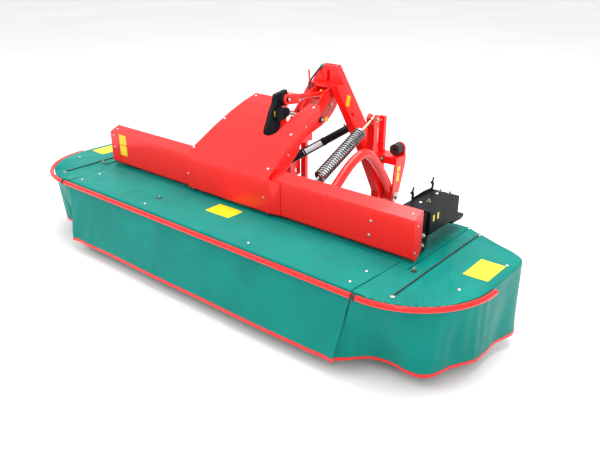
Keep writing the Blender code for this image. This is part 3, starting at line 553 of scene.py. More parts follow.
def front_profile():
    """(y, z, share of the drop) down the front guard, from its rear edge to the hem."""
    rows = [(y, 0.0) for y in span(-0.316, -0.680, 14)]
    for degrees in (0, 30, 60, 90):
        a = math.radians(degrees)
        rows.append((-0.691 - FOLD_R * math.sin(a), -FOLD_R + FOLD_R * math.cos(a)))
    rows = [(y, COVER_TOP + z, 0.0) for y, z in rows]
    rows += [(CURTAIN_Y - CURTAIN_LEAN * t, COVER_TOP - FOLD_R - CURTAIN_DROP * t, t)
             for t in span(0.04, 1.0, 26)]
    return rows


def front_half(y, drop):
    """Half the width of the front guard."""
    if drop > 0:
        return 1.151 - 0.056 * drop
    return 1.151 + 0.014 * min(1.0, (y - CURTAIN_Y) / 0.373)


def front_ripple(x, drop):
    """How far the curtain stands off its plane, in metres."""
    soft = 0.0035 * math.sin(3.1 * x + 0.6) + 0.0022 * math.sin(7.3 * x + 2.0 + 1.5 * drop)
    edge = max(0.0, (abs(x) - 0.86) / 0.26)
    crease = 0.006 * edge * math.sin(34.0 * abs(x) - 5.0 * drop)
    return drop * (soft + crease)


def front_point(share, y, z, drop):
    x = share * front_half(y, drop)
    sag = 0.0
    if drop == 0.0 and -0.69 < y < -0.34:
        ribs = abs(math.sin(math.pi * (x + 0.95) / 0.95))
        sag = 0.0035 * ribs * math.sin(math.pi * (y + 0.33) / -0.36)
        sag += 0.0016 * math.sin(26 * x + 9 * y) * (0.4 + 0.6 * abs(x))
        sag += 0.0014 * math.sin(11 * x - 31 * y) * math.sin(5 * x + 1.0)
    return (x, y - front_ripple(x, drop), z - sag)


def band(rows, height):
    """A strip along a curtain's hem, reaching just below it, for the binding."""
    low, above = rows[-1], rows[-2]
    top, foot = [], []
    for p, q in zip(low, above):
        p, q = Vector(p), Vector(q)
        up = (q - p).normalized()
        top.append(tuple(p + up * height))
        foot.append(tuple(p - up * 0.002))
    middle = [tuple((Vector(a) + Vector(b)) / 2) for a, b in zip(top, foot)]
    return [top, middle, foot]


def stand_off(rows, distance, flip=False):
    """Rows moved along their own outward direction."""
    moved = []
    for row in rows:
        out = []
        for i, p in enumerate(row):
            a, b = Vector(row[max(0, i - 1)]), Vector(row[min(len(row) - 1, i + 1)])
            normal = (b - a).cross(Vector((0, 0, 1))).normalized()
            if flip:
                normal = -normal
            out.append(tuple(Vector(p) + normal * distance))
        moved.append(out)
    return moved


class MOWER_OT_front_guard(bpy.types.Operator):
    """Hang the front guard's cloth with its bound hem"""
    bl_idname = "mower.front_guard"
    bl_label = "Front guard cloth"

    def execute(self, context):
        sizes = context.scene.mower_cloth
        shares = span(-1.0, 1.0, 120)
        rows = [[front_point(s, *line) for s in shares] for line in front_profile()]
        cloth, area = cloth_piece(rows, "front_guard_cloth", "guard_cloth", "front_guard",
                                  sizes.wall, flip=True)
        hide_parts("front_cover")
        hem = stand_off(band(rows, sizes.binding), HEM_STAND_OFF)
        binding, _ = cloth_piece(hem, "front_hem_binding", "binding_red", "front_guard", HEM_WALL,
                                 flip=True)
        return {"FINISHED"}


def side_outline():
    cx, cy = OUTLINE_CORNER
    points = [(1.156, -0.700)]
    for i in range(13):
        a = math.radians(-90 + 7.5 * i)
        points.append((cx + OUTLINE_ARC * math.cos(a), cy + OUTLINE_ARC * math.sin(a)))
    return points + [(1.640, -0.085), (1.635, 0.084), (1.569, 0.148), (1.468, 0.188),
                     (1.325, 0.253)]


def side_hem():
    return [(1.068, -0.738), (1.122, -0.690), (1.178, -0.628), (1.232, -0.590), (1.320, -0.574),
            (1.400, -0.586), (1.462, -0.580), (1.505, -0.548), (1.528, -0.495), (1.545, -0.425),
            (1.590, -0.340), (1.612, -0.294), (1.618, -0.240), (1.620, -0.185), (1.620, -0.085),
            (1.652, 0.065), (1.585, 0.140)]


def along(points, place):
    """A point on a smooth curve through points, at a fractional index."""
    i = min(int(place), len(points) - 2)
    t = place - i
    p = [Vector(points[max(0, min(len(points) - 1, k))]) for k in (i - 1, i, i + 1, i + 2)]
    return 0.5 * ((2 * p[1]) + (p[2] - p[0]) * t + (2 * p[0] - 5 * p[1] + 4 * p[2] - p[3]) * t ** 2
                  + (3 * p[1] - p[0] - 3 * p[2] + p[3]) * t ** 3)


def gather(f):
    """Depth of the small pleats along the rail, at a place on the outline."""
    if not 1.0 < f < 9.0:
        return 0.0
    reach = math.sin(math.pi * (f - 1.0) / 8.0) ** 0.5
    return 0.0060 * reach * (1.0 + math.sin(8.6 * f + 1.4 * math.sin(2.3 * f)))


def fold(f, t):
    """Three broad slanting folds that deepen toward the hem."""
    depth = 0.0
    for centre, lean, width in ((2.3, 0.5, 0.50), (3.4, -0.2, 0.60), (8.6, 0.7, 0.55)):
        depth += math.exp(-((f - centre - lean * t) / width) ** 2)
    return -0.009 * depth * math.sin(math.pi * min(1.0, 0.15 + 0.85 * t)) * t ** 0.5


def side_rows():
    """Rows of the right side guard from its hinge edge out and down to the hem."""
    outline, hem = side_outline(), side_hem()
    places = span(0.0, float(OUTLINE_END), SIDE_COLUMNS)
    inner_corner = 2.0
    rows = []
    for share in span(0.0, 0.985, 12):
        row = []
        for f in places:
            edge = along(outline, f)
            if f < inner_corner:
                inner = Vector((1.169 + 0.078 * f / inner_corner, -0.362))
            else:
                back = 0.652 * (f - inner_corner) / (OUTLINE_END - inner_corner)
                inner = Vector((1.247, -0.362 + back))
            p = inner.lerp(edge, share)
            dip = 0.0045 * math.sin(math.pi * share) * (0.7 + 0.3 * math.sin(1.7 * f))
            dip += gather(f) * max(0.0, (share - 0.62) / 0.38) ** 1.5
            row.append((p.x, p.y, COVER_TOP - dip))
        rows.append(row)
    rows.append([(*along(outline, f), COVER_TOP - 0.004 - 0.5 * gather(f)) for f in places])
    for t in span(0.0, 1.0, 26):
        row = []
        for f in places:
            top = along(outline, f)
            low = along(hem, min(f, float(HEM_END)))
            share = t ** 1.15
            p = top.lerp(low, share)
            before = along(outline, max(f - 0.3, 0.0))
            after = along(outline, min(f + 0.3, float(OUTLINE_END)))
            normal = (after - before).normalized()
            ripple = 0.0030 * math.sin(5.2 * f + 2.2 * t) * math.sin(math.pi * t) * min(1.0, f)
            ripple += fold(f, t)
            row.append((p.x + normal.y * ripple, p.y - normal.x * ripple,
                        SIDE_TOP_Z - SIDE_DROP * t))
        rows.append(row)
    return rows


class MOWER_OT_side_guards(bpy.types.Operator):
    """Hang the side guards' cloth with bound hems"""
    bl_idname = "mower.side_guards"
    bl_label = "Side guard cloth"

    def execute(self, context):
        sizes = context.scene.mower_cloth
        rows = side_rows()
        top_rows = 13
        edge = HEM_END * SIDE_COLUMNS // OUTLINE_END

        def past_hem(row, column):
            return row > top_rows and column >= edge

        for side, name in SIDES:
            placed = [[(side * x, y, z) for x, y, z in row] for row in rows]
            body = f"side_guard_{name}"
            cloth, area = cloth_piece(placed, f"side_guard_cloth_{name}", "guard_cloth", body,
                                      sizes.wall, skip=past_hem, flip=side > 0)
            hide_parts(f"side_cover_{name}")
            hem = [row[:edge + 1] for row in placed]
            hem = stand_off(band(hem, sizes.binding), HEM_STAND_OFF, flip=side < 0)
            binding, _ = cloth_piece(hem, f"side_hem_binding_{name}", "binding_red", body, HEM_WALL,
                                     flip=side > 0)
            lap = [[(side * x, y, 0.4655 - 0.002 * abs(x - 1.168) / 0.02)
                    for x in span(1.138, 1.185, 4)] for y in span(-0.690, -0.350, 24)]
            lap, _ = cloth_piece(lap, f"side_lap_{name}", "guard_cloth", body, sizes.wall,
                                 flip=side > 0)
        return {"FINISHED"}


class MOWER_OT_rear_cloth(bpy.types.Operator):
    """Lay the cloth behind the beam"""
    bl_idname = "mower.rear_cloth"
    bl_label = "Rear cloth"

    def execute(self, context):
        wall = context.scene.mower_cloth.wall
        ears, front = span(-0.354, -0.309, 2), span(-0.303, 0.300, 24)
        half = span(-1.236, -1.168, 3)[:-1] + span(-1.168, 1.168, 100) + span(1.168, 1.236, 3)[1:]
        rows = []
        for y in ears + front:
            dip = 0.003 * math.sin(math.pi * max(0.0, y + 0.303) / 0.603)
            rows.append([(x, y, DECK_TOP - dip * (1 + 0.4 * math.sin(6 * x))) for x in half])
        count = len(half) - 1
        cloth, area = cloth_piece(rows, "rear_cloth", "guard_cloth", "mower", wall,
                                  skip=lambda row, column: row < 3 and 3 <= column < count - 3)
        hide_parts("rear_deck")
        flap = [[(x, -0.302 + 0.004 * math.sin(9 * x) * t, 0.472 - 0.055 * t)
                 for x in span(-1.165, 1.165, 80)] for t in span(0.0, 1.0, 5)]
        flap, _ = cloth_piece(flap, "rear_cloth_flap", "guard_cloth", "mower", wall)
        for side, name in SIDES:
            lap = [[(side * x, y, 0.4665) for x in span(1.222, 1.262, 4)]
                   for y in span(-0.350, 0.290, 24)]
            (cloth_piece(lap, f"rear_lap_{name}", "guard_cloth", "mower", wall,
                                    flip=side > 0)[0])
        return {"FINISHED"}


# ---- straps, studs and stickers of the guards
def on_cloth(cloth, x, y):
    """The point on top of a cloth piece over (x, y)."""
    hit, place, _, _ = cloth.ray_cast(Vector((x, y, 1.0)), Vector((0, 0, -1)))
    if not hit:
        raise ValueError(f"{cloth.name} has no cloth under {x}, {y}")
    return place


def cloth_label(cloth, name, centre, size, body):
    """A blank sticker that follows the cloth under it."""
    nothing_selected()
    bpy.ops.mesh.primitive_grid_add(x_subdivisions=10, y_subdivisions=10, size=1.0)
    obj = bpy.context.object
    obj.data.transform(Matrix.Translation((*centre, 0.6)) @ Matrix.Diagonal((*size, 1, 1)))
    for vertex in obj.data.vertices:
        vertex.co.z = on_cloth(cloth, vertex.co.x, vertex.co.y).z + 0.0009
    solid = obj.modifiers.new("wall", "SOLIDIFY")
    solid.thickness = 0.0006
    take(obj)
    bpy.ops.object.modifier_apply(modifier=solid.name)
    return settle(obj, name, "yellow_label", body)


class MOWER_OT_guard_fittings(bpy.types.Operator):
    """Fit straps, eyelets, press studs, bolts and stickers to the guards"""
    bl_idname = "mower.guard_fittings"
    bl_label = "Guard fittings"

    def execute(self, context):
        radius = context.scene.mower_cloth.strap / 2
        front = bpy.data.objects["front_guard_cloth"]
        studs = [(-1.098, -0.638), (-0.435, -0.638), (0.435, -0.638), (1.098, -0.638),
                 (-1.098, -0.502), (1.098, -0.502)]
        stud = turned((0, 0, 0), UP, [(0, 0.0090), (0.002, 0.0087), (0.0042, 0.0060),
                                      (0.005, 0.0020)], 16)
        settle(copies(stud, [(on_cloth(front, x, y), UP) for x, y in studs]), "front_press_studs",
               "zinc_plate", "front_guard")
        # Painted shade: a thin black disc round the bolt stands for the dark hollow seen through
        # the hole in the cloth.
        hole_shade = turned((0, 0, 0), UP, [(0, 0.017), (0.0012, 0.0165)], 20)
        settle(copies(hole_shade, [(on_cloth(front, -0.443, -0.519), UP)]), "front_bolt_hole",
               "moulded_rubber", "front_guard")
        bolt = stub((0, 0, 0.001), UP, 0.0055, 0.014, 0.018, 0.003, 12)
        settle(copies(bolt, [(on_cloth(front, -0.443, -0.519), UP)]), "front_bolt", "zinc_plate",
               "front_guard")
        cloth_label(front, "front_sticker", (0.02, -0.415), (0.19, 0.12), "front_guard")
        for side, name in SIDES:
            body = f"side_guard_{name}"
            cloth = bpy.data.objects[f"side_guard_cloth_{name}"]
            x = side * 1.325
            route = [on_cloth(cloth, x, y) + Vector((0, 0, radius * 0.9))
                     for y in span(-0.613, 0.229, 16)]
            settle(tube([route[0] - Vector((0, 0.004, 0.006))] + route
                        + [route[-1] + Vector((0, 0.004, -0.006))], radius), f"strap_{name}",
                   "moulded_rubber", body)
            eyelet = turned((0, 0, 0), UP, [(0, 0.0125), (0.0015, 0.0120), (0.0026, 0.0085)], 20)
            ends = [(on_cloth(cloth, x, y), UP) for y in (-0.622, 0.238)]
            settle(copies(eyelet, ends), f"eyelets_{name}", "zinc_plate", body)
            stud = turned((0, 0, 0), UP, [(0, 0.010), (0.003, 0.0095), (0.0055, 0.006),
                                          (0.0065, 0.002)], 16)
            spots = ((1.528, -0.377), (1.595, -0.009))
            places = [(on_cloth(cloth, side * a, b), UP) for a, b in spots]
            settle(copies(stud, places), f"side_studs_{name}", "zinc_plate", body)
            # Painted shade: a thin black disc round the bolt stands for the dark hollow seen
            # through the hole in the cloth.
            hole_shade = turned((0, 0, 0), UP, [(0, 0.0165), (0.0012, 0.0160)], 20)
            place = on_cloth(cloth, side * 1.271, -0.352)
            settle(copies(hole_shade, [(place, UP)]), f"side_bolt_hole_{name}", "moulded_rubber", body)
            bolt = stub((0, 0, 0.001), UP, 0.0065, 0.018, 0.022, 0.004, 12)
            settle(copies(bolt, [(place, UP)]), f"side_bolt_{name}", "yellow_zinc", body)
            cloth_label(cloth, f"side_sticker_{name}", (side * 1.53, -0.122), (0.13, 0.20), body)
            rail = turned((side * 1.1712, -0.726, 0.463), (side, 0, 0),
                          [(0, 0.0150), (0.001, 0.0156), (0.023, 0.0156), (0.024, 0.0150)], 24)
            settle(rail, f"rail_band_{name}", "moulded_rubber", body)
        return {"FINISHED"}


# ---- relief springs
class MOWER_OT_springs(bpy.types.Operator):
    """Wind the relief springs"""
    bl_idname = "mower.springs"
    bl_label = "Relief springs"

    def execute(self, context):
        sizes = context.scene.mower_spring
        for side, name in reversed(SIDES):
            x = head(side, SPRING_X)
            start, end = Vector((x, *SPRING_PIN)), Vector((x, *SPRING_ANCHOR))
            d = (end - start).normalized()
            n = Vector(RIGHT)
            m = d.cross(n)
            mean = sizes.radius - sizes.wire / 2
            low, high = SPRING_COIL[0] + 0.012, SPRING_COIL[1] - 0.008
            path = []
            per_turn = 18
            steps = sizes.turns * per_turn
            for i in range(steps + 1):
                a = 2 * math.pi * i / per_turn
                path.append(start + d * (low + (high - low) * i / steps)
                            + (n * math.cos(a) + m * math.sin(a)) * mean)
            coil = tube(path, sizes.wire / 2, 2)
            ring = collar(start + d * SPRING_COIL[0], d, 0.0125, 0.0372, 0.016)
            lug = turned(start + d * (SPRING_COIL[1] - 0.020), d,
                         [(0, 0.027), (0.012, 0.027), (0.020, 0.012), (0.045, 0.009)], 20)
            eye = collar(end - n * 0.010, n, 0.0105, 0.021, 0.020)
            spring = join(coil, ring, lug, eye)
            settle(spring, f"coil_spring_{name}", "spring_steel", f"spring_{name}", 50)
            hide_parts(f"relief_spring_{name}")
        return {"FINISHED"}


def collar(place, axis, bore, outer, depth):
    """A flat ring with its bore along the axis, its near face at place."""
    start, direction = Vector(place), Vector(axis).normalized()
    nothing_selected()
    turn = direction.to_track_quat("Z", "Y").to_euler()
    bpy.ops.mesh.primitive_cylinder_add(vertices=28, radius=outer, depth=depth,
                                        end_fill_type="NOTHING",
                                        location=start + direction * depth / 2, rotation=turn)
    obj = bpy.context.object
    solid = obj.modifiers.new("wall", "SOLIDIFY")
    solid.thickness = outer - bore
    solid.offset = -1.0
    bpy.ops.object.modifier_apply(modifier=solid.name)
    bpy.ops.object.transform_apply(location=True, rotation=True, scale=True)
    return soften(obj, min(0.0012, depth * 0.2))


# ---- hood and beam fittings
def on_hood(x, y):
    """A point on top of the hood and the way it faces."""
    for (y0, z0), (y1, z1) in zip(HOOD_PROFILE, HOOD_PROFILE[1:]):
        if y <= y1:
            share = (y - y0) / (y1 - y0)
            facing = Vector((0, -(z1 - z0), y1 - y0)).normalized()
            return Vector((x, y, z0 + (z1 - z0) * share)), facing
    raise ValueError("beyond the hood")


def label(name, centre, across, upward, size, body, finish_name="yellow_label", corner=0.003):
    """A blank sticker on a flat face, with its sides along two directions."""
    u, v = Vector(across).normalized(), Vector(upward).normalized()
    w = u.cross(v)
    middle = Vector(centre)
    obj = plate(rounded(*size, corner), lambda a, b, c: middle + u * a + v * b + w * c, 0.0, 0.0007)
    return settle(obj, name, finish_name, body)


class MOWER_OT_beam_fittings(bpy.types.Operator):
    """Fit the rivets, bolts and stickers of hood and beam"""
    bl_idname = "mower.beam_fittings"
    bl_label = "Beam and hood fittings"

    def execute(self, context):
        tops = [on_hood(x, y) for x, y in ((-0.384, -0.266), (-0.308, -0.064), (-0.224, 0.139),
                                           (0.246, -0.270), (0.245, -0.068), (0.249, 0.135))]
        rivets("hood_rivets", 0.0085, tops)
        faces = [((x, HOOD_FACE_Y, z), FRONT) for x, z in ((-0.403, 0.586), (0.240, 0.584))]
        rivets("face_rivets", 0.0070, faces)
        domes = [((x, BEAM_FACE_Y, z), FRONT) for x, z in (
            (0.972, 0.636), (0.964, 0.556), (-1.189, 0.684), (-1.189, 0.600))]
        rivets("beam_bolts", 0.0092, domes)
        ends = [((s * END_FACE_X, y, z), (s, 0, 0)) for s in (-1, 1)
                for y, z in ((-0.262, 0.668), (-0.278, 0.528))]
        rivets("end_face_rivets", 0.0065, ends)
        bevel = (0, -math.sin(math.radians(23)), math.cos(math.radians(23)))
        rivets("end_rivets", 0.007, [((s * 1.19, -0.255, 0.723), bevel) for s in (-1, 1)])
        for i, z in enumerate((0.668, 0.592)):
            label(f"beam_sticker_{i + 1}", (-1.092, BEAM_FACE_Y - 0.0003, z), RIGHT, UP,
                  (0.075, 0.070), "mower")
        slope = Vector((0, 0.027, -0.022)).normalized()
        low = [((x, HOOD_FACE_Y + 0.010, 0.492), (0, slope.z, -slope.y)) for x in (-0.375, 0.262)]
        rivets("chamfer_rivets", 0.006, low)
        label("hood_strip", Vector((0.0, HOOD_FACE_Y, 0.500)) + slope * 0.016
              + Vector((0, -0.0003, -0.0004)), RIGHT, -slope, (0.22, 0.026), "mower",
              "orange_paint", 0.001)
        rivets("flange_bolts", 0.006,
               [((0.277, 0.032, 0.935), RIGHT), ((0.277, -0.13, 0.80), RIGHT)])
        return {"FINISHED"}


# ---- tower, link and cylinder
class MOWER_OT_linkage(bpy.types.Operator):
    """Fit bosses, pins, chain and stickers of the upper linkage"""
    bl_idname = "mower.linkage"
    bl_label = "Upper linkage fittings"

    def execute(self, context):
        x = HEAD_X
        for side, name in SIDES:
            # name, distance from the middle, place, sizes, finish and body
            for stem, offset, spot, sizes, finish_name, body in (
                    ("link_boss", 0.0142, LINK_FRONT, (0.040, 0.010, 0.0135, 0.036, 28),
                     "black_paint", "mower"),
                    ("rod_boss", 0.0342, ROD_EYE, (0.023, 0.004, 0.006, 0.020, 28),
                     "black_paint", "mower"),
                    ("link_pin", 0.0521, LINK_FRONT, (0.0105, 0.003, 0.006, 0.008),
                     "zinc_plate", "mower"),
                    ("link_rear_pin", 0.0741, LINK_REAR, (0.0105, 0.005, 0.008, 0.008),
                     "zinc_plate", "headstock"),
                    ("link_rear_boss", 0.0606, LINK_REAR, (0.021, 0.005, 0.008, 0.018, 24),
                     "red_paint", "headstock"),
                    ("cylinder_pin", 0.0703, BARREL_EYE, (0.0105, 0.004, 0.007, 0.008),
                     "zinc_plate", "cylinder"),
                    ("cylinder_pad", 0.0606, BARREL_EYE, (0.020, 0.004, 0.006, 0.017, 24),
                     "moulded_rubber", "cylinder"),
                    ("slot_pin", 0.0606, SLOT_PIN, (0.0125, 0.005, 0.008, 0.009),
                     "zinc_plate", "headstock")):
                piece = stub((x + side * offset, *spot), (side, 0, 0), *sizes)
                settle(piece, f"{stem}_{name}", finish_name, body)
            slide = plate(slot_shape((0.404, 0.8955), (0.484, 0.9580), 0.0125), upright,
                          *sorted((x + side * 0.0503, x + side * 0.0592)))
            settle(slide, f"slot_slide_{name}", "brown_zinc", "headstock")
        label("tower_sticker", (x + 0.0143, 0.005, 0.985), (0, 1, 0.25), (0, -0.25, 1),
              (0.026, 0.034), "mower")
        label("nose_sticker", (x + 0.0603, 0.440, 0.868), (0, 1, 0.35), (0, -0.35, 1),
              (0.034, 0.030), "headstock")
        cups = [turned(place, (0, 0.1, 1), [(0, 0.006), (0.007, 0.006), (0.010, 0.003)], 14)
                for place in ((x, 0.150, 1.069), (x, 0.455, 1.0405))]
        settle(join(*cups), "link_grease_caps", "yellow_label", "link")
        settle(self.chain(), "pin_chain", "zinc_plate", "link")
        ring = collar((x, *self.at(0.425)), (0, *self.way()), 0.0195, 0.0335, 0.018)
        settle(ring, "cylinder_gland", "black_paint", "cylinder")
        wiper = collar((x, *self.at(0.895)), (0, *self.way()), 0.0183, 0.0225, 0.006)
        settle(wiper, "rod_collar", "brown_zinc", "cylinder_rod")
        return {"FINISHED"}

    def at(self, share):
        return (0.382 - 0.297 * share, 0.878 + 0.102 * share)

    def way(self):
        return Vector((-0.297, 0.102)).normalized()

    def chain(self):
        """A short pin chain that hangs from the fork to the tube."""
        links = []
        count = 13
        for i in range(count):
            t = i / (count - 1)
            y = 0.125 + 0.105 * t
            z = 1.030 - 0.012 * math.sin(math.pi * t) + 0.008 * t
            nothing_selected()
            bpy.ops.mesh.primitive_torus_add(major_radius=0.0058, minor_radius=0.0013,
                                             major_segments=12, minor_segments=6,
                                             location=(HEAD_X + 0.036, y, z),
                                             rotation=(math.radians(90 * (i % 2)), 0.15, 0.0))
            links.append(bpy.context.object)
        return join(*links)


def slot_shape(start, end, radius, steps=8):
    """Outline of a slot with round ends."""
    lean = math.atan2(end[1] - start[1], end[0] - start[0])
    points = []
    for (cy, cz), turn in ((end, -math.pi / 2), (start, math.pi / 2)):
        for i in range(steps + 1):
            a = lean + turn + math.pi * i / steps
            points.append((cy + radius * math.cos(a), cz + radius * math.sin(a)))
    return points


# ---- headstock fittings
class MOWER_OT_headstock(bpy.types.Operator):
    """Fit the pins, beads, caps and stickers of the headstock"""
    bl_idname = "mower.headstock"
    bl_label = "Headstock fittings"

    def execute(self, context):
        for side, name in SIDES:
            out = (side, 0, 0)
            washer = collar((head(side, 0.4966), *HITCH_PIN), out, 0.0184, 0.031, 0.004)
            settle(washer, f"hitch_washer_{name}", "zinc_plate", "headstock")
            end = turned((head(side, 0.5153), *HITCH_PIN), out,
                         [(0, 0.0175), (0.004, 0.0165), (0.007, 0.012)], 24)
            settle(end, f"hitch_pin_end_{name}", "chrome_plate", "headstock")
            bead = collar((head(side, 0.45), 0.6195, 0.4185), (0, -0.40, 0.92), 0.0298, 0.0365,
                          0.007)
            settle(bead, f"arm_bead_{name}", "red_paint", f"arm_{name}")
            ears = [((head(side, SPRING_X) + s * 0.0303, *SPRING_PIN), (s, 0, 0)) for s in (-1, 1)]
            settle(copies(nut_and_washer(0.016, 0.009), ears), f"spring_pin_nuts_{name}",
                   "yellow_zinc", "headstock")
            pin = stub((head(side, 0.33), 0.6748, 0.865), (0, -1, 0), 0.006, 0.006, 0.008, 0.004,
                       16)
            settle(pin, f"stand_pin_{name}", "zinc_plate", f"stand_{name}")
            lock = nut_and_washer(0.020, 0.012)
            spots = [((head(side, 0.385), 0.6205, 0.628), (0, -1, 0))]
            settle(copies(lock, spots), f"bracket_bolt_{name}", "brown_zinc", "headstock")
            label(f"bracket_sticker_{name}_upper", (head(side, 0.4963), 0.652, 0.575), (0, side, 0),
                  UP, (0.036, 0.030), "headstock")
            label(f"bracket_sticker_{name}_lower", (head(side, 0.4963), 0.646, 0.520), (0, side, 0),
                  UP, (0.030, 0.062), "headstock")
        cap = turned((-0.0045, 0.5245, 1.178), (0.35, 0.25, 0.9),
                     [(0, 0.0075), (0.004, 0.0095), (0.016, 0.0095), (0.020, 0.006)], 18)
        settle(cap, "hose_cap", "green_cap", "headstock")
        label("leg_sticker", (head(1, 0.205), 0.4747, 1.005), (1, 0, -0.15), (0.15, 0, 1),
              (0.026, 0.070), "headstock")
        return {"FINISHED"}


# ---- belt box and drive shaft
class MOWER_OT_drive(bpy.types.Operator):
    """Fit the hooks, nuts, plates and stickers of the belt box and the drive shaft"""
    bl_idname = "mower.drive"
    bl_label = "Drive fittings"

    def execute(self, context):
        top = BOX_TOP
        white = [((1.106, -0.039, top), UP), ((1.109, 0.128, top), UP)]
        rivets("box_bolts", 0.010, white)
        brass = [((1.133, -0.001, top), UP), ((1.107, 0.168, top), UP), ((1.162, 0.173, top), UP)]
        settle(copies(nut_and_washer(0.012, 0.010), brass), "box_nuts", "yellow_zinc", "mower")
        rail = plate([(-0.045, top), (-0.010, top + 0.012), (0.085, top + 0.016),
                      (0.175, top + 0.012), (0.180, top)], upright, 1.0515, 1.0565, 0.001)
        hooks = []
        for y in (-0.036, 0.172):
            hooks.append(plate([(y - 0.008, top + 0.004), (y + 0.010, top + 0.004),
                                (y + 0.012, top + 0.030), (y + 0.004, top + 0.050),
                                (y + 0.012, top + 0.068), (y + 0.003, top + 0.072),
                                (y - 0.007, top + 0.052), (y - 0.022, top + 0.046),
                                (y - 0.022, top + 0.038), (y - 0.006, top + 0.036)], upright,
                               1.0505, 1.0575, 0.001))
        settle(join(rail, *hooks), "box_hooks", "black_paint", "mower")
        ledge = plate([(0.140, 0.569), (0.180, 0.569), (0.285, 0.556), (0.293, 0.540),
                       (0.262, 0.528), (0.150, 0.535)], upright, 1.090, 1.200, 0.003)
        settle(ledge, "box_bracket", "black_paint", "mower")
        ends = plate([(-0.190, 0.482), (-0.125, 0.482), (-0.095, 0.560), (-0.095, 0.690),
                      (-0.190, 0.690)], upright, 1.192, 1.198, 0.001)
        settle(ends, "box_end_plate", "black_paint", "mower")
        bolts = [((1.1982, -0.158, 0.575), RIGHT), ((1.1982, -0.162, 0.520), RIGHT)]
        settle(copies(nut_and_washer(0.016, 0.010), bolts), "box_end_bolts", "zinc_plate", "mower")
        for i, y in enumerate((-0.088, -0.044)):
            label(f"box_sticker_{i + 1}", (1.2153, y, 0.653), (0, 1, 0), UP, (0.016, 0.034),
                  "mower")
        start, end = Vector(SHAFT_FRONT), Vector(SHAFT_REAR)
        d = (end - start).normalized()
        normal = Vector((0.8, -0.45, 0.5))
        normal = (normal - d * normal.dot(d)).normalized()
        centre = start.lerp(end, 0.46)
        across = d.cross(normal).normalized()
        name = self.wrapped(centre, d, normal, across)
        settle(name, "shaft_label", "white_label", "shaft")
        rings = [collar(start.lerp(end, t), d, 0.0262, 0.0285, 0.012) for t in (0.36, 0.60, 0.90)]
        settle(join(*rings), "shaft_rings", "black_plastic", "shaft")
        return {"FINISHED"}

    def wrapped(self, centre, along_shaft, normal, across):
        """A blank label laid round the guard tube."""
        rows = []
        for a in span(-0.62, 0.62, 8):
            row = []
            for w in span(-0.075, 0.075, 12):
                out = normal * math.cos(a) + across * math.sin(a)
                row.append(centre + along_shaft * w + out * SHAFT_SKIN)
            rows.append(row)
        nothing_selected()
        bpy.ops.mesh.primitive_grid_add(x_subdivisions=12, y_subdivisions=8)
        obj = bpy.context.object
        for vertex, place in zip(obj.data.vertices, [p for row in rows for p in row]):
            vertex.co = place
        solid = obj.modifiers.new("wall", "SOLIDIFY")
        solid.thickness = 0.0006
        bpy.ops.object.modifier_apply(modifier=solid.name)
        take(obj)
        bpy.ops.object.mode_set(mode="EDIT")
        bpy.ops.mesh.select_all(action="SELECT")
        bpy.ops.mesh.normals_make_consistent(inside=False)
        bpy.ops.object.mode_set(mode="OBJECT")
        return obj


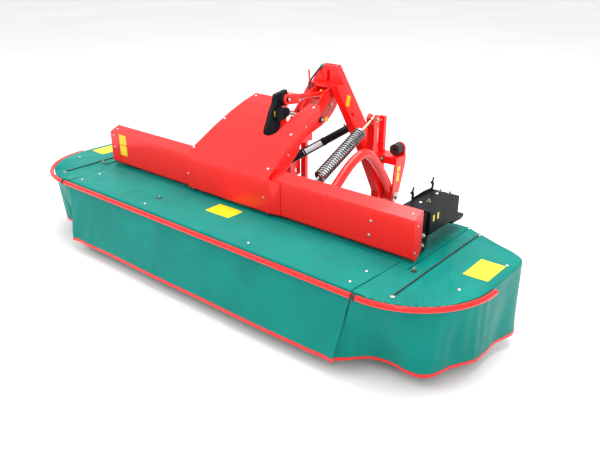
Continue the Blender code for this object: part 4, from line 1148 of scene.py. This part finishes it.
# ---- light, floor and camera
class MOWER_OT_stage(bpy.types.Operator):
    """Lay the floor, hang the lights and set the camera"""
    bl_idname = "mower.stage"
    bl_label = "Stage"

    def execute(self, context):
        nothing_selected()
        bpy.ops.mesh.primitive_grid_add(x_subdivisions=4, y_subdivisions=4, size=60)
        floor = context.object
        floor.name = "floor"
        mat, tree, shader, place = fresh("pale_floor")
        pale = shades(tree, noise(tree, place, 0.6, 2.0),
                      [(0.3, (0.86, 0.86, 0.86)), (0.7, (0.90, 0.90, 0.90))])
        tree.links.new(pale, shader.inputs["Base Color"])
        shader.inputs["Roughness"].default_value = 0.75
        floor.data.materials.append(mat)
        for name, place, aim, size, power in (
                ("key", (-2.8, -4.6, 5.2), (0, 0, 0.3), 3.5, 150.0),
                ("fill", (5.2, -2.4, 3.0), (0, 0, 0.4), 4.0, 70.0),
                ("top", (0.4, 1.0, 6.0), (0, 0, 0), 5.0, 420.0)):
            lamp = bpy.data.lights.new(name, "AREA")
            lamp.size = size
            lamp.energy = power
            obj = bpy.data.objects.new(name, lamp)
            context.scene.collection.objects.link(obj)
            obj.location = place
            obj.rotation_euler = (Vector(aim) - Vector(place)).to_track_quat("-Z", "Y").to_euler()
        world = bpy.data.worlds.new("studio")
        world.use_nodes = True
        world.node_tree.nodes["Background"].inputs["Color"].default_value = (1, 1, 1, 1)
        world.node_tree.nodes["Background"].inputs["Strength"].default_value = 1.0
        context.scene.world = world
        context.scene.view_settings.view_transform = "Standard"
        lens = bpy.data.cameras.new("camera")
        lens.lens = 39.6
        lens.sensor_width = 36.0
        camera = bpy.data.objects.new("camera", lens)
        context.scene.collection.objects.link(camera)
        camera.location = (2.671, -2.878, 1.971)
        camera.rotation_euler = (math.radians(65.62), 0.0, math.radians(39.99))
        context.scene.camera = camera
        return {"FINISHED"}


class MOWER_PT_panel(bpy.types.Panel):
    """Lists the mower's pieces and sizes"""
    bl_label = "Mower"
    bl_idname = "MOWER_PT_panel"
    bl_space_type = "VIEW_3D"
    bl_region_type = "UI"
    bl_category = "Mower"

    def draw(self, context):
        for group in (context.scene.mower_finish, context.scene.mower_cloth,
                      context.scene.mower_spring):
            for name in group.__annotations__:
                self.layout.prop(group, name)
        for step in STEPS:
            self.layout.operator(step.bl_idname)


STEPS = (MOWER_OT_finishes, MOWER_OT_front_guard, MOWER_OT_side_guards, MOWER_OT_rear_cloth,
         MOWER_OT_guard_fittings, MOWER_OT_springs, MOWER_OT_beam_fittings, MOWER_OT_linkage,
         MOWER_OT_headstock, MOWER_OT_drive, MOWER_OT_stage)
GROUPS = (("mower_finish", MowerFinish), ("mower_cloth", MowerCloth), ("mower_spring", MowerSpring))


def register():
    for name, group in GROUPS:
        bpy.utils.register_class(group)
        setattr(bpy.types.Scene, name, PointerProperty(type=group))
    for step in STEPS:
        bpy.utils.register_class(step)
    bpy.utils.register_class(MOWER_PT_panel)


def unregister():
    bpy.utils.unregister_class(MOWER_PT_panel)
    for step in reversed(STEPS):
        bpy.utils.unregister_class(step)
    for name, group in reversed(GROUPS):
        delattr(bpy.types.Scene, name)
        bpy.utils.unregister_class(group)


def main():
    register()
    for step in STEPS:
        module, name = step.bl_idname.split(".")
        getattr(getattr(bpy.ops, module), name)()


if __name__ == "__main__":
    main()
